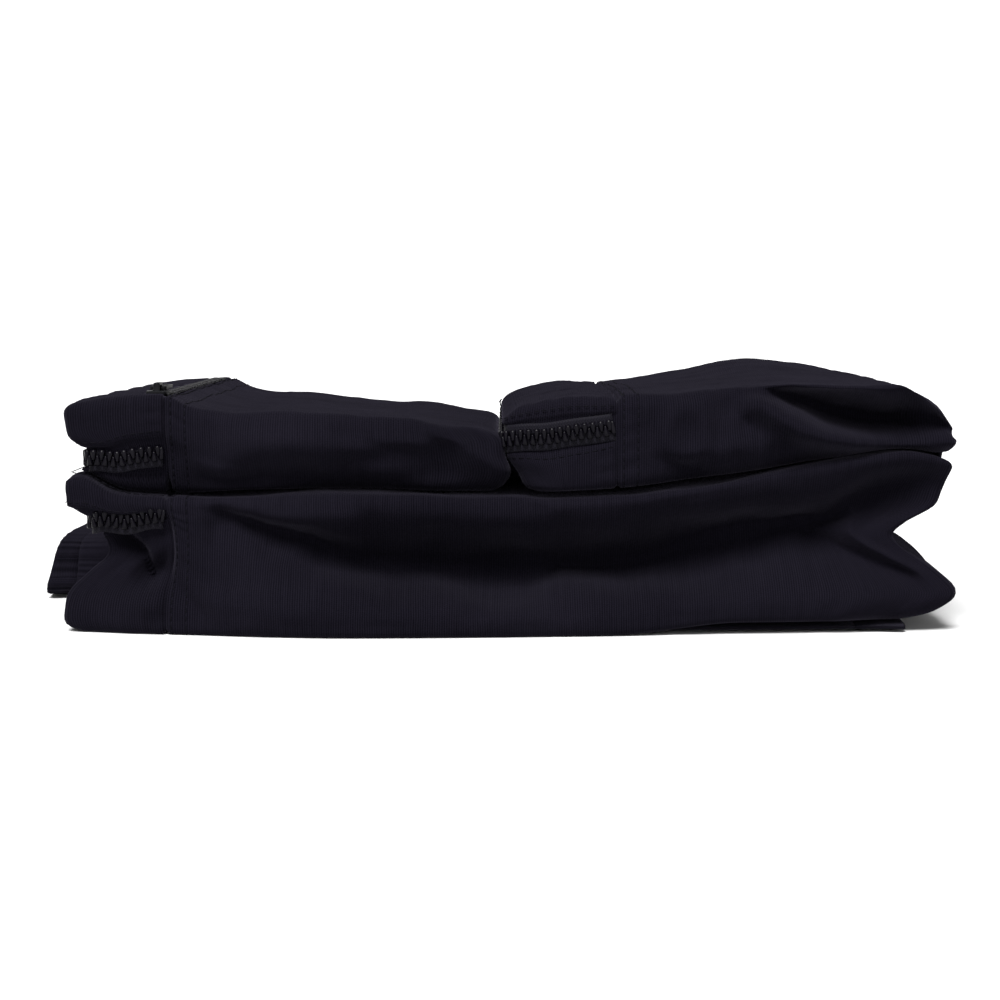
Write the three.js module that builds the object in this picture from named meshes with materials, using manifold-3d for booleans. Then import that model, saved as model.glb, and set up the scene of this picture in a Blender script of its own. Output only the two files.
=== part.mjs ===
// Film changing bag, zipped shut and folded into a flat bundle.
// The double-walled bag lies in four soft sections: a lower and an upper fold that carry the bundle, and on them a
// left fold, hinged along the rear edge, and a right fold, hinged along the right edge. The upper, left and right folds
// end at their left in a zipped mouth, the left fold has a second zip across its top, and two arm sleeves with elastic
// cuffs are folded in: one comes out at the left, the other lies flat under the right end.
// Millimetres, +X right, +Y to the rear, +Z up. The origin is on the underside, at the middle of the folds.
import * as THREE from "three";
import { mergeVertices } from "three/addons/utils/BufferGeometryUtils.js";
import Module from "manifold-3d";

const wasm = await Module();
wasm.setup();

// ---------------------------------------------------------------- driving dimensions

const bundleWidth = 334;
const bundleDepth = 236;
const lowerFoldHeight = 30.4;
const upperFoldHeight = 24.6;
const leftFoldHeight = 33.4;
const rightFoldHeight = 35;
const lowerLift = 6.5; // how much higher the lower fold's top is at the right end
const upperLift = 16; // the same for the upper fold's top
const edgeRounding = 4; // of the folds' front and rear edges, seen from the side
const layerGap = 0.6; // between folds that lie on each other

const wall = 1.5; // outer bag, two bonded plies of cloth
const pieceGap = 0.4; // between pieces that are sewn or fitted together
const bindingWidth = 8; // bound seam allowance inside the cross seam
const bindingThickness = 0.8;
const mouthLength = { upper: 31, left: 31, right: 43 }; // from a zipped end back to its cross seam
const foldSplit = -6; // x between the left fold and the right fold
const splitGap = 1.2;

const zip = {
  chainWidth: 6.2, // over both rows of teeth
  rowGap: 1.4, // between the rows, where the slider's neck runs
  toothOut: 0.7, // how far teeth stand out of the zip's nominal surface
  toothIn: 1.9, // how far they reach behind it
  tapeIn: 0.8,
  tapeThickness: 0.6,
  bandWidth: 11.2, // cloth edge to cloth edge
  cornerRadius: 10,
  stopLength: 3.6,
};
const topZipBand = 9.2;
const sliderLength = 13;
const sliderWidth = 9.6;
const plateThickness = 1.4;
const pullLength = 24;
const pullWidth = 6.4;
const pullThickness = 1.4;

const sleeve = {
  left: { reach: 28, height: 27, width: 112, fromRear: 18, cuff: 11, inside: 17 },
  right: { length: 109, height: 4, width: 150, fromFront: 5, cuff: 19, fromEnd: 16 },
  elastic: { thickness: 1, width: 6 },
};

const webThickness = 0.8; // cloth that bridges two folds at their hinge edge

// ---------------------------------------------------------------- worked-out places

const left = -bundleWidth / 2;
const right = bundleWidth / 2;
const front = -bundleDepth / 2;
const rear = bundleDepth / 2;
const stationCount = 16;
const stations = Array.from({ length: stationCount + 1 }, (_, i) => left + (bundleWidth * i) / stationCount);

const smooth = (t) => {
  const c = Math.min(1, Math.max(0, t));
  return c * c * (3 - 2 * c);
};

// A height that changes along X, straight between the stations so that neighbouring folds share one surface.
function ramp(low, lift) {
  const at = (x) => low + lift * smooth((x - 0.06 * bundleWidth) / (0.36 * bundleWidth));
  return (x) => {
    const step = bundleWidth / stationCount;
    const i = Math.min(stationCount - 1, Math.max(0, Math.floor((x - left) / step)));
    const t = (x - stations[i]) / step;
    return at(stations[i]) * (1 - t) + at(stations[i + 1]) * t;
  };
}
const lowerTop = ramp(lowerFoldHeight, lowerLift);
const upperTop = ramp(lowerFoldHeight + upperFoldHeight, upperLift);
const above = (height, offset) => (x) => height(x) + offset;

const along = (height, x0, x1) =>
  stations.filter((x) => x > x0 + 2 && x < x1 - 2).map((x) => [x, height(x)]);

// ---------------------------------------------------------------- folds, as outlines of [x, z] points

// A fold has a top and a bottom height along X, and its outline runs anticlockwise as seen from the front.
const fold = (x0, x1, bottom, top, outline) => ({ x0, x1, bottom, top, outline });

// The zipped left end of a fold, listed downwards: rounded upper edge, upright zip wall, then the lower strip.
function zippedEnd(place, top, bottom) {
  const half = zip.bandWidth / 2;
  return [
    [place.x + 5, top],
    [place.x, place.z + half + 0.4 * (top - place.z - half)],
    [place.x, place.z - half],
    [place.x + 2, place.z - half - 0.6 * (place.z - half - bottom)],
    [place.x + 8, bottom],
  ];
}

const seatX = right - sleeve.right.fromEnd - sleeve.right.length;
const seatTop = sleeve.right.height + layerGap;
const lowerBottom = () => 0;
const lowerFold = fold(left, right, lowerBottom, lowerTop, [
  [left + 9, 0],
  [seatX - 6, 0],
  [seatX - 1, seatTop],
  [right - 15, seatTop],
  [right - 4, 0.3 * lowerFoldHeight],
  [right, 0.48 * lowerFoldHeight],
  [right - 7, 0.82 * lowerFoldHeight],
  [right - 20, lowerTop(right - 20)],
  ...along(lowerTop, left + 19, right - 20).reverse(),
  [left + 19, lowerTop(left + 19)],
  [left + 7, 0.86 * lowerFoldHeight],
  [left, 0.4 * lowerFoldHeight],
  [left + 2, 0.16 * lowerFoldHeight],
]);

const upperBottom = above(lowerTop, layerGap);
const upperZip = { x: left + 6.5, z: lowerFoldHeight + 0.52 * upperFoldHeight };
const upperFold = fold(upperZip.x, right - 1, upperBottom, upperTop, [
  ...along(upperBottom, upperZip.x + 8, right - 21),
  [right - 21, upperBottom(right - 21)],
  [right - 7, upperTop(right) - 0.72 * upperFoldHeight],
  [right - 1, upperTop(right) - 5],
  [right - 3, upperTop(right - 3)],
  ...along(upperTop, upperZip.x + 5, right - 3).reverse(),
  ...zippedEnd(upperZip, upperTop(left), upperBottom(left)),
]);

const topBottom = above(upperTop, layerGap);
const leftZip = { x: left + 5.5, z: topBottom(left) + 0.33 * leftFoldHeight };
const leftEnd = foldSplit - splitGap / 2;
const leftDrop = 0.3 * leftFoldHeight; // the left fold is that much lower at its right end
const leftTopZ = topBottom(left) + leftFoldHeight;
const leftTop = (x) => leftTopZ - leftDrop * smooth((x - left - 45) / (leftEnd - left - 45));
const leftFold = fold(leftZip.x, leftEnd, topBottom, leftTop, [
  ...along(topBottom, leftZip.x + 8, leftEnd - 5),
  [leftEnd - 5, topBottom(leftEnd - 5)],
  [leftEnd, topBottom(leftEnd) + 5],
  [leftEnd, leftTop(leftEnd) - 6],
  [leftEnd - 6, leftTop(leftEnd - 6)],
  ...along(leftTop, leftZip.x + 5, leftEnd - 6).reverse(),
  ...zippedEnd(leftZip, leftTopZ, topBottom(left)),
]);

const rightZip = { x: foldSplit + splitGap / 2 + 3, z: topBottom(0) + 0.54 * rightFoldHeight };
const rightCrown = 10; // the right fold's middle is that much higher than its left end
const rightCrownAt = (x) => Math.sin(0.85 * Math.PI * smooth((x - rightZip.x) / (right - 12 - rightZip.x)));
const rightTop = (x) => topBottom(0) + rightFoldHeight + rightCrown * rightCrownAt(x);
const rightFold = fold(rightZip.x, right, topBottom, rightTop, [
  ...along(topBottom, rightZip.x + 8, right - 14),
  [right - 14, topBottom(right - 14)],
  [right - 1, topBottom(right - 1) + 4],
  [right, topBottom(right) + 8],
  [right - 5, rightTop(right - 12) - 9],
  [right - 12, rightTop(right - 12)],
  ...along(rightTop, rightZip.x + 5, right - 12).reverse(),
  ...zippedEnd(rightZip, rightTop(rightZip.x), topBottom(rightZip.x)),
]);

// ---------------------------------------------------------------- solids

// A closed geometry as a manifold-3d solid.
function solid(geometry) {
  const bare = geometry.index ? geometry.toNonIndexed() : geometry.clone();
  bare.deleteAttribute("normal");
  bare.deleteAttribute("uv");
  const merged = mergeVertices(bare, 1e-4);
  return new wasm.Manifold(
    new wasm.Mesh({
      numProp: 3,
      vertProperties: merged.getAttribute("position").array,
      triVerts: new Uint32Array(merged.index.array),
    }),
  );
}

// A manifold-3d solid as a geometry again.
function geometryOf(made) {
  const mesh = made.getMesh();
  const positions = new Float32Array(mesh.numVert * 3);
  for (let i = 0; i < mesh.numVert; i++)
    positions.set(mesh.vertProperties.subarray(i * mesh.numProp, i * mesh.numProp + 3), i * 3);
  return new THREE.BufferGeometry()
    .setAttribute("position", new THREE.BufferAttribute(positions, 3))
    .setIndex(new THREE.BufferAttribute(mesh.triVerts, 1));
}

// A box between two corners.
function block(x0, x1, y0, y1, z0, z1) {
  const box = new THREE.BoxGeometry(x1 - x0, y1 - y0, z1 - z0);
  return solid(box.translate((x0 + x1) / 2, (y0 + y1) / 2, (z0 + z1) / 2));
}

// A fold's outline drawn in: towards the fold's mid height by dz, and towards the middle of its length by dx.
function drawnIn(body, dx, dz) {
  const middle = (body.x0 + body.x1) / 2;
  const keep = 1 - (2 * dx) / (body.x1 - body.x0);
  return body.outline.map(([x, z]) => {
    const mid = (body.top(x) + body.bottom(x)) / 2;
    const halfHeight = (body.top(x) - body.bottom(x)) / 2;
    return [middle + (x - middle) * keep, mid + (z - mid) * (1 - dz / halfHeight)];
  });
}

// A cushion: a fold's outline carried from y0 to y1, a depth inside the fold, with its ends drawn in by a quarter
// ellipse, so that the corners are rounded in plan and the front and rear edges from the side.
function cushion(body, y0, y1, depth = 0, rounding = { plan: zip.cornerRadius, edge: edgeRounding }) {
  const steps = 3;
  const plan = Math.max(1.5, rounding.plan - depth);
  const edge = Math.max(0.8, rounding.edge - depth);
  const arc = Array.from({ length: steps + 1 }, (_, i) => (Math.PI / 2) * (i / steps));
  const near = arc.map((a) => [y0 + depth + plan * (1 - Math.cos(a)), 1 - Math.sin(a)]);
  const far = arc.map((a) => [y1 - depth - plan * (1 - Math.cos(a)), 1 - Math.sin(a)]).reverse();
  const rings = [...near, ...far].map(([y, share]) =>
    drawnIn(body, depth + plan * share, depth + edge * share).map(([x, z]) => new THREE.Vector3(x, y, z)),
  );
  const positions = [];
  const face = (...corners) => corners.forEach((c) => positions.push(c.x, c.y, c.z));
  for (let r = 0; r + 1 < rings.length; r++)
    body.outline.forEach((_, i) => {
      const j = (i + 1) % body.outline.length;
      face(rings[r][i], rings[r + 1][j], rings[r][j]);
      face(rings[r][i], rings[r + 1][i], rings[r + 1][j]);
    });
  const cap = (ring, turned) => {
    const flat = ring.map((p) => new THREE.Vector2(p.x, p.z));
    THREE.ShapeUtils.triangulateShape(flat, []).forEach(([a, b, c]) =>
      turned ? face(ring[a], ring[c], ring[b]) : face(ring[a], ring[b], ring[c]),
    );
  };
  cap(rings[0], false);
  cap(rings[rings.length - 1], true);
  const geometry = new THREE.BufferGeometry();
  geometry.setAttribute("position", new THREE.Float32BufferAttribute(positions, 3));
  return solid(geometry);
}

// An outline in the X-Z plane extruded from y0 to y1.
function plate(outline, y0, y1) {
  const shape = new THREE.Shape(outline.map(([x, z]) => new THREE.Vector2(x, z)));
  const geometry = new THREE.ExtrudeGeometry(shape, { depth: y1 - y0, bevelEnabled: false });
  return solid(geometry.rotateX(Math.PI / 2).translate(0, y1, 0));
}

// ---------------------------------------------------------------- materials and the list of pieces

const finish = (color, roughness, metalness = 0) => new THREE.MeshStandardMaterial({ color, roughness, metalness });
const materials = {
  cloth: finish(0x18161e, 0.8),
  lining: finish(0x121116, 0.9),
  tape: finish(0x15141b, 0.85),
  teeth: finish(0x1c1c22, 0.35),
  slider: finish(0x17171b, 0.4, 0.6),
  elastic: finish(0x1b1a20, 0.75),
};
const bag = new THREE.Group();

function add(name, made, material) {
  const mesh = new THREE.Mesh(geometryOf(made), materials[material]);
  mesh.name = name;
  bag.add(mesh);
}

// ---------------------------------------------------------------- zip hardware, in a frame of its own:
// u along the zip, v across it, w out of the cloth, and w = 0 on the zip's nominal surface

// Places a solid made as (u, v, w) at a point, with u and w along two given directions.
function placed(made, u, w, at) {
  const v = new THREE.Vector3().crossVectors(w, u);
  const basis = new THREE.Matrix4().makeBasis(u, v, w).setPosition(at);
  return solid(geometryOf(made).applyMatrix4(basis));
}

const plateOut = -zip.toothOut - 0.5;
const bridgeRise = 3.2;
const bridgeBar = 1.1;
const hingeW = -plateOut + plateThickness + (bridgeRise - bridgeBar) / 2 - 0.05;

// The slider: two shield-shaped wings joined by a neck, side flanges, and a bridge for the pull.
function sliderSolid() {
  const h = sliderLength / 2;
  const w = sliderWidth / 2;
  const shield = (shrink) => {
    const shape = new THREE.Shape();
    shape.moveTo(-h + shrink, -w + 1.6);
    shape.lineTo(-h + 1.2, -w + 0.9);
    shape.lineTo(h - 3, -w + shrink);
    shape.quadraticCurveTo(h - shrink, -w + shrink, h - shrink, -w + 2.6);
    shape.quadraticCurveTo(h - shrink - 0.6, 0, h - shrink, w - 2.6);
    shape.quadraticCurveTo(h - shrink, w - shrink, h - 3, w - shrink);
    shape.lineTo(-h + 1.2, w - 0.9);
    shape.lineTo(-h + shrink, w - 1.6);
    return shape;
  };
  const wing = (low, shrink) =>
    solid(
      new THREE.ExtrudeGeometry(shield(shrink), {
        depth: plateThickness,
        bevelEnabled: false,
        curveSegments: 3,
      }).translate(0, 0, low),
    );
  const outer = -plateOut;
  const inner = -zip.toothIn - 0.5 - plateThickness;
  const neck = block(h - 6, h - 1.5, -(zip.rowGap / 2 - 0.3), zip.rowGap / 2 - 0.3, inner + 0.5, outer + 0.5);
  const flange = (side) => {
    const near = zip.chainWidth / 2 + 0.4;
    const edges = [side * near, side * (near + 0.8)].sort((a, b) => a - b);
    return block(-h + 2, h - 3.4, edges[0], edges[1], -zip.tapeIn + 0.35, outer + 0.4);
  };
  const top = outer + plateThickness;
  const bridge = block(-h + 1.5, h - 2, -1.1, 1.1, top - 0.3, top + bridgeRise).subtract(
    block(-h + 1.5 + 1.6, h - 2 - 1.6, -2, 2, top + 0.001, top + bridgeRise - bridgeBar),
  );
  return wing(outer, 0)
    .add(wing(inner, 0.5))
    .add(neck)
    .add(flange(1))
    .add(flange(-1))
    .add(bridge);
}

// The pull: a flat tab with a window for the bridge and a round cross bar under it, lying towards +u.
function pullSolid() {
  const half = pullWidth / 2;
  const window = 6.6;
  const shape = new THREE.Shape();
  shape.moveTo(-0.6, -half + 0.7);
  shape.lineTo(0.2, -half);
  shape.lineTo(pullLength - 2.6, -half + 0.5);
  shape.quadraticCurveTo(pullLength, -half + 0.5, pullLength, 0);
  shape.quadraticCurveTo(pullLength, half - 0.5, pullLength - 2.6, half - 0.5);
  shape.lineTo(0.2, half);
  shape.lineTo(-0.6, half - 0.7);
  const tab = solid(
    new THREE.ExtrudeGeometry(shape, { depth: pullThickness, bevelEnabled: false, curveSegments: 4 }).translate(
      0,
      0,
      -pullThickness / 2,
    ),
  );
  const opening = block(-2, window, -1.55, 1.55, -3, 3);
  const grip = block(window + 5, window + 13, -1.3, 1.3, -3, 3);
  const bar = solid(new THREE.CylinderGeometry(0.65, 0.65, 2 * half - 1.4, 10));
  return tab.subtract(opening).subtract(grip).add(bar);
}
const slider = sliderSolid();
const pull = pullSolid();

// The sides of a zip that runs round a mouth: a ribbon along a U in plan, its face a given depth behind the U.
function ribbon(place, depth, thickness, z0, z1, endX) {
  const { x, y0, y1 } = place;
  const r = zip.cornerRadius;
  const turn = (shape, d, forwards) => {
    if (forwards) {
      shape.lineTo(x + r, y0 + d);
      shape.absarc(x + r, y0 + r, r - d, -Math.PI / 2, -Math.PI, true);
      shape.absarc(x + r, y1 - r, r - d, Math.PI, Math.PI / 2, true);
      shape.lineTo(endX, y1 - d);
    } else {
      shape.lineTo(endX, y1 - d);
      shape.lineTo(x + r, y1 - d);
      shape.absarc(x + r, y1 - r, r - d, Math.PI / 2, Math.PI, false);
      shape.absarc(x + r, y0 + r, r - d, Math.PI, 1.5 * Math.PI, false);
      shape.lineTo(endX, y0 + d);
    }
  };
  const shape = new THREE.Shape();
  shape.moveTo(endX, y0 + depth);
  turn(shape, depth, true);
  turn(shape, depth + thickness, false);
  return solid(
    new THREE.ExtrudeGeometry(shape, { depth: z1 - z0, bevelEnabled: false, curveSegments: 6 }).translate(0, 0, z0),
  );
}

const half = { row: zip.rowGap / 2, chain: zip.chainWidth / 2, band: zip.bandWidth / 2 };
const tapeEdge = half.chain + pieceGap / 2;

// The pieces of a mouth's zip. Each pair of z values is the span of one tape or one row of teeth.
function mouthZip(prefix, place) {
  const z = place.z;
  const seam = place.seam - pieceGap;
  const teethEnd = seam - zip.stopLength - 2 * pieceGap;
  const band = half.band - pieceGap / 2;
  const bar = (z0, z1) => ribbon(place, -zip.toothOut, zip.toothOut + zip.toothIn, z0, z1, teethEnd);
  add(`${prefix}_tape_top`, ribbon(place, zip.tapeIn, zip.tapeThickness, z + tapeEdge, z + band, seam), "tape");
  add(`${prefix}_tape_bottom`, ribbon(place, zip.tapeIn, zip.tapeThickness, z - band, z - tapeEdge, seam), "tape");
  add(`${prefix}_teeth_top`, bar(z + half.row, z + half.chain), "teeth");
  add(`${prefix}_teeth_bottom`, bar(z - half.chain, z - half.row), "teeth");
  const stopX = [seam - pieceGap - zip.stopLength, seam - pieceGap];
  const stop = (y0, y1) => block(stopX[0], stopX[1], y0, y1, z - half.chain, z + half.chain);
  add(`${prefix}_stop_front`, stop(place.y0 - zip.toothOut, place.y0 + zip.toothIn), "teeth");
  add(`${prefix}_stop_rear`, stop(place.y1 - zip.toothIn, place.y1 + zip.toothOut), "teeth");
}

// A slider and its pull, on a straight run of a zip.
function runner(prefix, u, w, at) {
  add(`${prefix}_slider`, placed(slider, u, w, at), "slider");
  const hinge = at.clone().addScaledVector(w, hingeW);
  add(`${prefix}_pull`, placed(pull, u, w, hinge), "slider");
}

// ---------------------------------------------------------------- the folds

const bindingDepth = wall + 2 * pieceGap; // from the outside in to the bound seam
const innerDepth = 4.4; // from the outside in to the inner bag
const below = (z) => block(left - 50, right + 50, front - 50, rear + 50, -50, z);
const aboveZ = (z) => block(left - 50, right + 50, front - 50, rear + 50, z, 250);
const leftOf = (x) => block(left - 50, x, front - 50, rear + 50, -50, 250);
const rightOf = (x) => block(x, right + 50, front - 50, rear + 50, -50, 250);

const inside = (body, depth) => cushion(body, front, rear, depth);

// A fold with a zipped left end: cross seam, mouth pieces over and under the zip, bound seam and inner bag.
function zippedFold(prefix, body, zipPlace, length, cut) {
  const place = { ...zipPlace, seam: zipPlace.x + length, y0: front, y1: rear };
  const hollow = inside(body, 0).subtract(inside(body, wall));
  const skin = cut ? hollow.subtract(cut) : hollow;
  const mouth = skin.intersect(leftOf(place.seam - pieceGap / 2));
  const split = half.band + pieceGap / 2;
  add(`${prefix}_shell`, skin.intersect(rightOf(place.seam + pieceGap / 2)), "cloth");
  add(`${prefix}_mouth_top`, mouth.intersect(aboveZ(place.z + split)), "cloth");
  add(`${prefix}_mouth_bottom`, mouth.intersect(below(place.z - split)), "cloth");

  const bound = inside(body, bindingDepth).subtract(inside(body, bindingDepth + bindingThickness));
  const seamSpan = rightOf(place.seam + pieceGap).intersect(leftOf(place.seam + pieceGap + bindingWidth));
  add(`${prefix}_seam_binding`, bound.intersect(seamSpan), "tape");

  const chainX = place.x + innerDepth;
  const slotWidth = zip.chainWidth + 2 * pieceGap;
  const chainEnds = [front + 30, rear - 30];
  const slot = block(
    chainX - 5,
    chainX + 3,
    chainEnds[0] - pieceGap,
    chainEnds[1] + pieceGap,
    place.z - slotWidth / 2,
    place.z + slotWidth / 2,
  );
  add(`${prefix}_inner_bag`, inside(body, innerDepth).subtract(slot), "lining");
  const chain = [place.z - half.chain, place.z + half.chain];
  add(`${prefix}_inner_zip`, block(chainX, chainX + 2.6, chainEnds[0], chainEnds[1], chain[0], chain[1]), "teeth");

  mouthZip(`${prefix}_zip`, place);
  return place;
}

const X = new THREE.Vector3(1, 0, 0);
const Y = new THREE.Vector3(0, 1, 0);
const Z = new THREE.Vector3(0, 0, 1);
const runEnd = rear - zip.cornerRadius - sliderLength / 2 - 6;

// Upper fold, on the base.
const upperPlace = zippedFold("upper_fold", upperFold, upperZip, mouthLength.upper);
runner("upper_fold_zip", Y.clone().negate(), X.clone().negate(), new THREE.Vector3(upperPlace.x, runEnd, upperPlace.z));

// Left fold, with the zip across its top beside the cross seam.
const topZip = {
  x: leftZip.x + mouthLength.left - topZipBand / 2 - pieceGap,
  z: leftTopZ,
  y0: front + zip.cornerRadius,
  y1: rear - zip.cornerRadius,
};
const topSlot = block(
  topZip.x - topZipBand / 2 - pieceGap,
  topZip.x + topZipBand / 2 + pieceGap,
  topZip.y0 - pieceGap,
  topZip.y1 + pieceGap,
  topZip.z - innerDepth + 0.2,
  topZip.z + 20,
);
const leftPlace = zippedFold("left_fold", leftFold, leftZip, mouthLength.left, topSlot);
runner("left_fold_zip", Y.clone().negate(), X.clone().negate(), new THREE.Vector3(leftPlace.x, runEnd, leftPlace.z));

// A straight zip along Y on top of the left fold.
function straightZip(prefix, place) {
  const teeth = [place.y0 + zip.stopLength + pieceGap, place.y1 - zip.stopLength - pieceGap];
  [
    ["left", -1],
    ["right", 1],
  ].forEach(([side, sign]) => {
    const span = (a, b) => [place.x + sign * a, place.x + sign * b].sort((p, q) => p - q);
    const tape = span(tapeEdge, topZipBand / 2);
    const row = span(half.row, half.chain);
    const tapeTop = place.z - zip.tapeIn;
    add(`${prefix}_tape_${side}`, block(...tape, place.y0, place.y1, tapeTop - zip.tapeThickness, tapeTop), "tape");
    add(`${prefix}_teeth_${side}`, block(...row, ...teeth, place.z - zip.toothIn, place.z + zip.toothOut), "teeth");
  });
  const stop = (y0) =>
    block(
      place.x - half.chain,
      place.x + half.chain,
      y0,
      y0 + zip.stopLength,
      place.z - zip.toothIn,
      place.z + zip.toothOut,
    );
  add(`${prefix}_stop_front`, stop(place.y0), "teeth");
  add(`${prefix}_stop_rear`, stop(place.y1 - zip.stopLength), "teeth");
}
straightZip("top_zip", topZip);
const topRest = topZip.y0 + zip.stopLength + sliderLength / 2 + 1;
runner("top_zip", Y, Z, new THREE.Vector3(topZip.x, topRest, topZip.z));

// Right fold; its slider stands on the rear leg of the zip, because the left fold lies against its left end.
const rightPlace = zippedFold("right_fold", rightFold, rightZip, mouthLength.right);
const rightRest = rightPlace.seam - zip.stopLength - sliderLength / 2 - 2;
runner("right_fold_zip", X.clone().negate(), Y, new THREE.Vector3(rightRest, rear, rightPlace.z));

// ---------------------------------------------------------------- sleeves

// The left sleeve comes out of the lower fold's left end and lies on the ground.
const ls = sleeve.left;
const lsTip = left - ls.reach;
const lsRoot = left + ls.inside;
const level = (z) => () => z;
const leftSleeve = fold(lsTip, lsRoot, level(0), level(ls.height), [
  [lsTip + 3, 0],
  [lsRoot, 0],
  [lsRoot, ls.height],
  [lsTip + 10, ls.height],
  [lsTip + 5, 0.9 * ls.height],
  [lsTip, 0.2 * ls.height],
]);
const lsY = [rear - ls.fromRear - ls.width, rear - ls.fromRear];
const lsRounding = { plan: 9, edge: 5 };
const leftSleeveRoom = cushion(leftSleeve, lsY[0], lsY[1], -pieceGap, lsRounding);

// An elastic ring, flattened with the sleeve: a rectangular loop across the sleeve.
function elasticLoop(x0, x1, y, z, grow) {
  const t = sleeve.elastic.thickness;
  const outer = block(x0, x1, y[0] - grow, y[1] + grow, z[0] - grow, z[1] + grow);
  return outer.subtract(block(x0 - 1, x1 + 1, y[0] + t + grow, y[1] - t - grow, z[0] + t + grow, z[1] - t - grow));
}

// Cuts a sleeve at its cuff and lays the elastic in a groove of the cuff, open towards the sleeve.
function cuffedSleeve(prefix, whole, seamX, outwards, y, z) {
  const cuffSide = outwards < 0 ? leftOf(seamX - pieceGap / 2) : rightOf(seamX + pieceGap / 2);
  const armSide = outwards < 0 ? rightOf(seamX + pieceGap / 2) : leftOf(seamX - pieceGap / 2);
  const reach = [seamX + outwards * pieceGap, seamX + outwards * (pieceGap + sleeve.elastic.width)];
  const band = reach.slice().sort((a, b) => a - b);
  const groove = [seamX, reach[1] + outwards * pieceGap].sort((a, b) => a - b);
  add(prefix, whole.intersect(armSide), "cloth");
  add(`${prefix}_cuff`, whole.intersect(cuffSide).subtract(elasticLoop(...groove, y, z, pieceGap / 2)), "cloth");
  add(`${prefix}_elastic`, elasticLoop(...band, y, z, 0), "elastic");
}
cuffedSleeve(
  "left_sleeve",
  cushion(leftSleeve, lsY[0], lsY[1], 0, lsRounding),
  lsTip + ls.cuff,
  -1,
  [lsY[0] + lsRounding.plan, lsY[1] - lsRounding.plan],
  [0.28 * ls.height, 0.72 * ls.height],
);

// The right sleeve lies flat in the seat under the lower fold's right end.
const rs = sleeve.right;
const rsX = [seatX, seatX + rs.length];
const rightSleeve = fold(rsX[0], rsX[1], level(0), level(rs.height), [
  [rsX[0], 0],
  [rsX[1] - 1, 0],
  [rsX[1], 0.5 * rs.height],
  [rsX[1] - 1, rs.height],
  [rsX[0], rs.height],
]);
const rsY = [front + rs.fromFront, front + rs.fromFront + rs.width];
const rsRounding = { plan: 6, edge: 1 };
cuffedSleeve(
  "right_sleeve",
  cushion(rightSleeve, rsY[0], rsY[1], 0, rsRounding),
  rsX[1] - rs.cuff,
  1,
  [rsY[0] + rsRounding.plan, rsY[1] - rsRounding.plan],
  [0.14 * rs.height, 0.86 * rs.height],
);

// Lower fold: no mouth of its own, but open where the left sleeve goes in.
const lowerSkin = inside(lowerFold, 0).subtract(inside(lowerFold, wall));
add("lower_fold_shell", lowerSkin.subtract(leftSleeveRoom), "cloth");
add("lower_fold_inner_bag", inside(lowerFold, innerDepth).subtract(leftSleeveRoom), "lining");

// ---------------------------------------------------------------- webs over the two hinge edges

const rearWebZ = [upperTop(left) - 0.5 * upperFoldHeight, upperTop(left) - 1];
const rearWebX = [leftPlace.seam + 4, leftEnd - 12];
add("rear_hinge_web", block(...rearWebX, rear + pieceGap, rear + pieceGap + webThickness, ...rearWebZ), "cloth");

const rightWebPath = [
  [right - 7, upperTop(right) - 0.8 * upperFoldHeight],
  [right - 1, upperTop(right) - 5],
];
const webSide = (offset) => rightWebPath.map(([x, z]) => [x + offset, z - 0.3 * offset]);
add(
  "right_hinge_web",
  plate([...webSide(pieceGap + 0.3), ...webSide(pieceGap + 0.3 + webThickness).reverse()], front + 14, rear - 14),
  "cloth",
);

export default bag;
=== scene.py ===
"""Film changing bag, zipped shut and folded into a flat bundle: cloth, zips and sleeves, and a studio."""

import math

import bmesh
import bpy
import numpy as np
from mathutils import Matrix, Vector


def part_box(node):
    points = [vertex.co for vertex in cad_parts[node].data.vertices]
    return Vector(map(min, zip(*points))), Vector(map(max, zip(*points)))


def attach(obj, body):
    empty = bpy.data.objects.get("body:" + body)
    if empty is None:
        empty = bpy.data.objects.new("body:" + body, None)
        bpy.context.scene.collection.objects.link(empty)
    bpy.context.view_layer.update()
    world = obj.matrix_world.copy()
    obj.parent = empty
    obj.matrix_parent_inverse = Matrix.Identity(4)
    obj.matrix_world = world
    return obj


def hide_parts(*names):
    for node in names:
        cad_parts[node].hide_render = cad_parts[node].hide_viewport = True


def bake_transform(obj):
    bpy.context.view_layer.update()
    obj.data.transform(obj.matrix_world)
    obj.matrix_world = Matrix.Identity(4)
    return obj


bl_info = {
    "name": "Film changing bag",
    "version": (1, 0, 0),
    "blender": (4, 5, 0),
    "location": "3D View > Sidebar > Changing bag",
    "description": "Builds the cloth, zips and sleeves of a folded film changing bag",
    "category": "Object",
}

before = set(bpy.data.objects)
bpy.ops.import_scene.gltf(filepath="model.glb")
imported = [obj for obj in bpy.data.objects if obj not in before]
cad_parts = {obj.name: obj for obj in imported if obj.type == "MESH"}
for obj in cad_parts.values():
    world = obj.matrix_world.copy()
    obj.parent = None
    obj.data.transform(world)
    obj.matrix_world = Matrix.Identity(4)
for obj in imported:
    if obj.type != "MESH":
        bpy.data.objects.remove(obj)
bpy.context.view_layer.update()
MM = 0.001


def node_mm(name):
    """Lowest and highest corner of a CAD node, in millimetres."""
    low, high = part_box(name)
    return np.array(low) / MM, np.array(high) / MM


# ------------------------------------------------------------------ sizes from the frame, in millimetres

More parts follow.
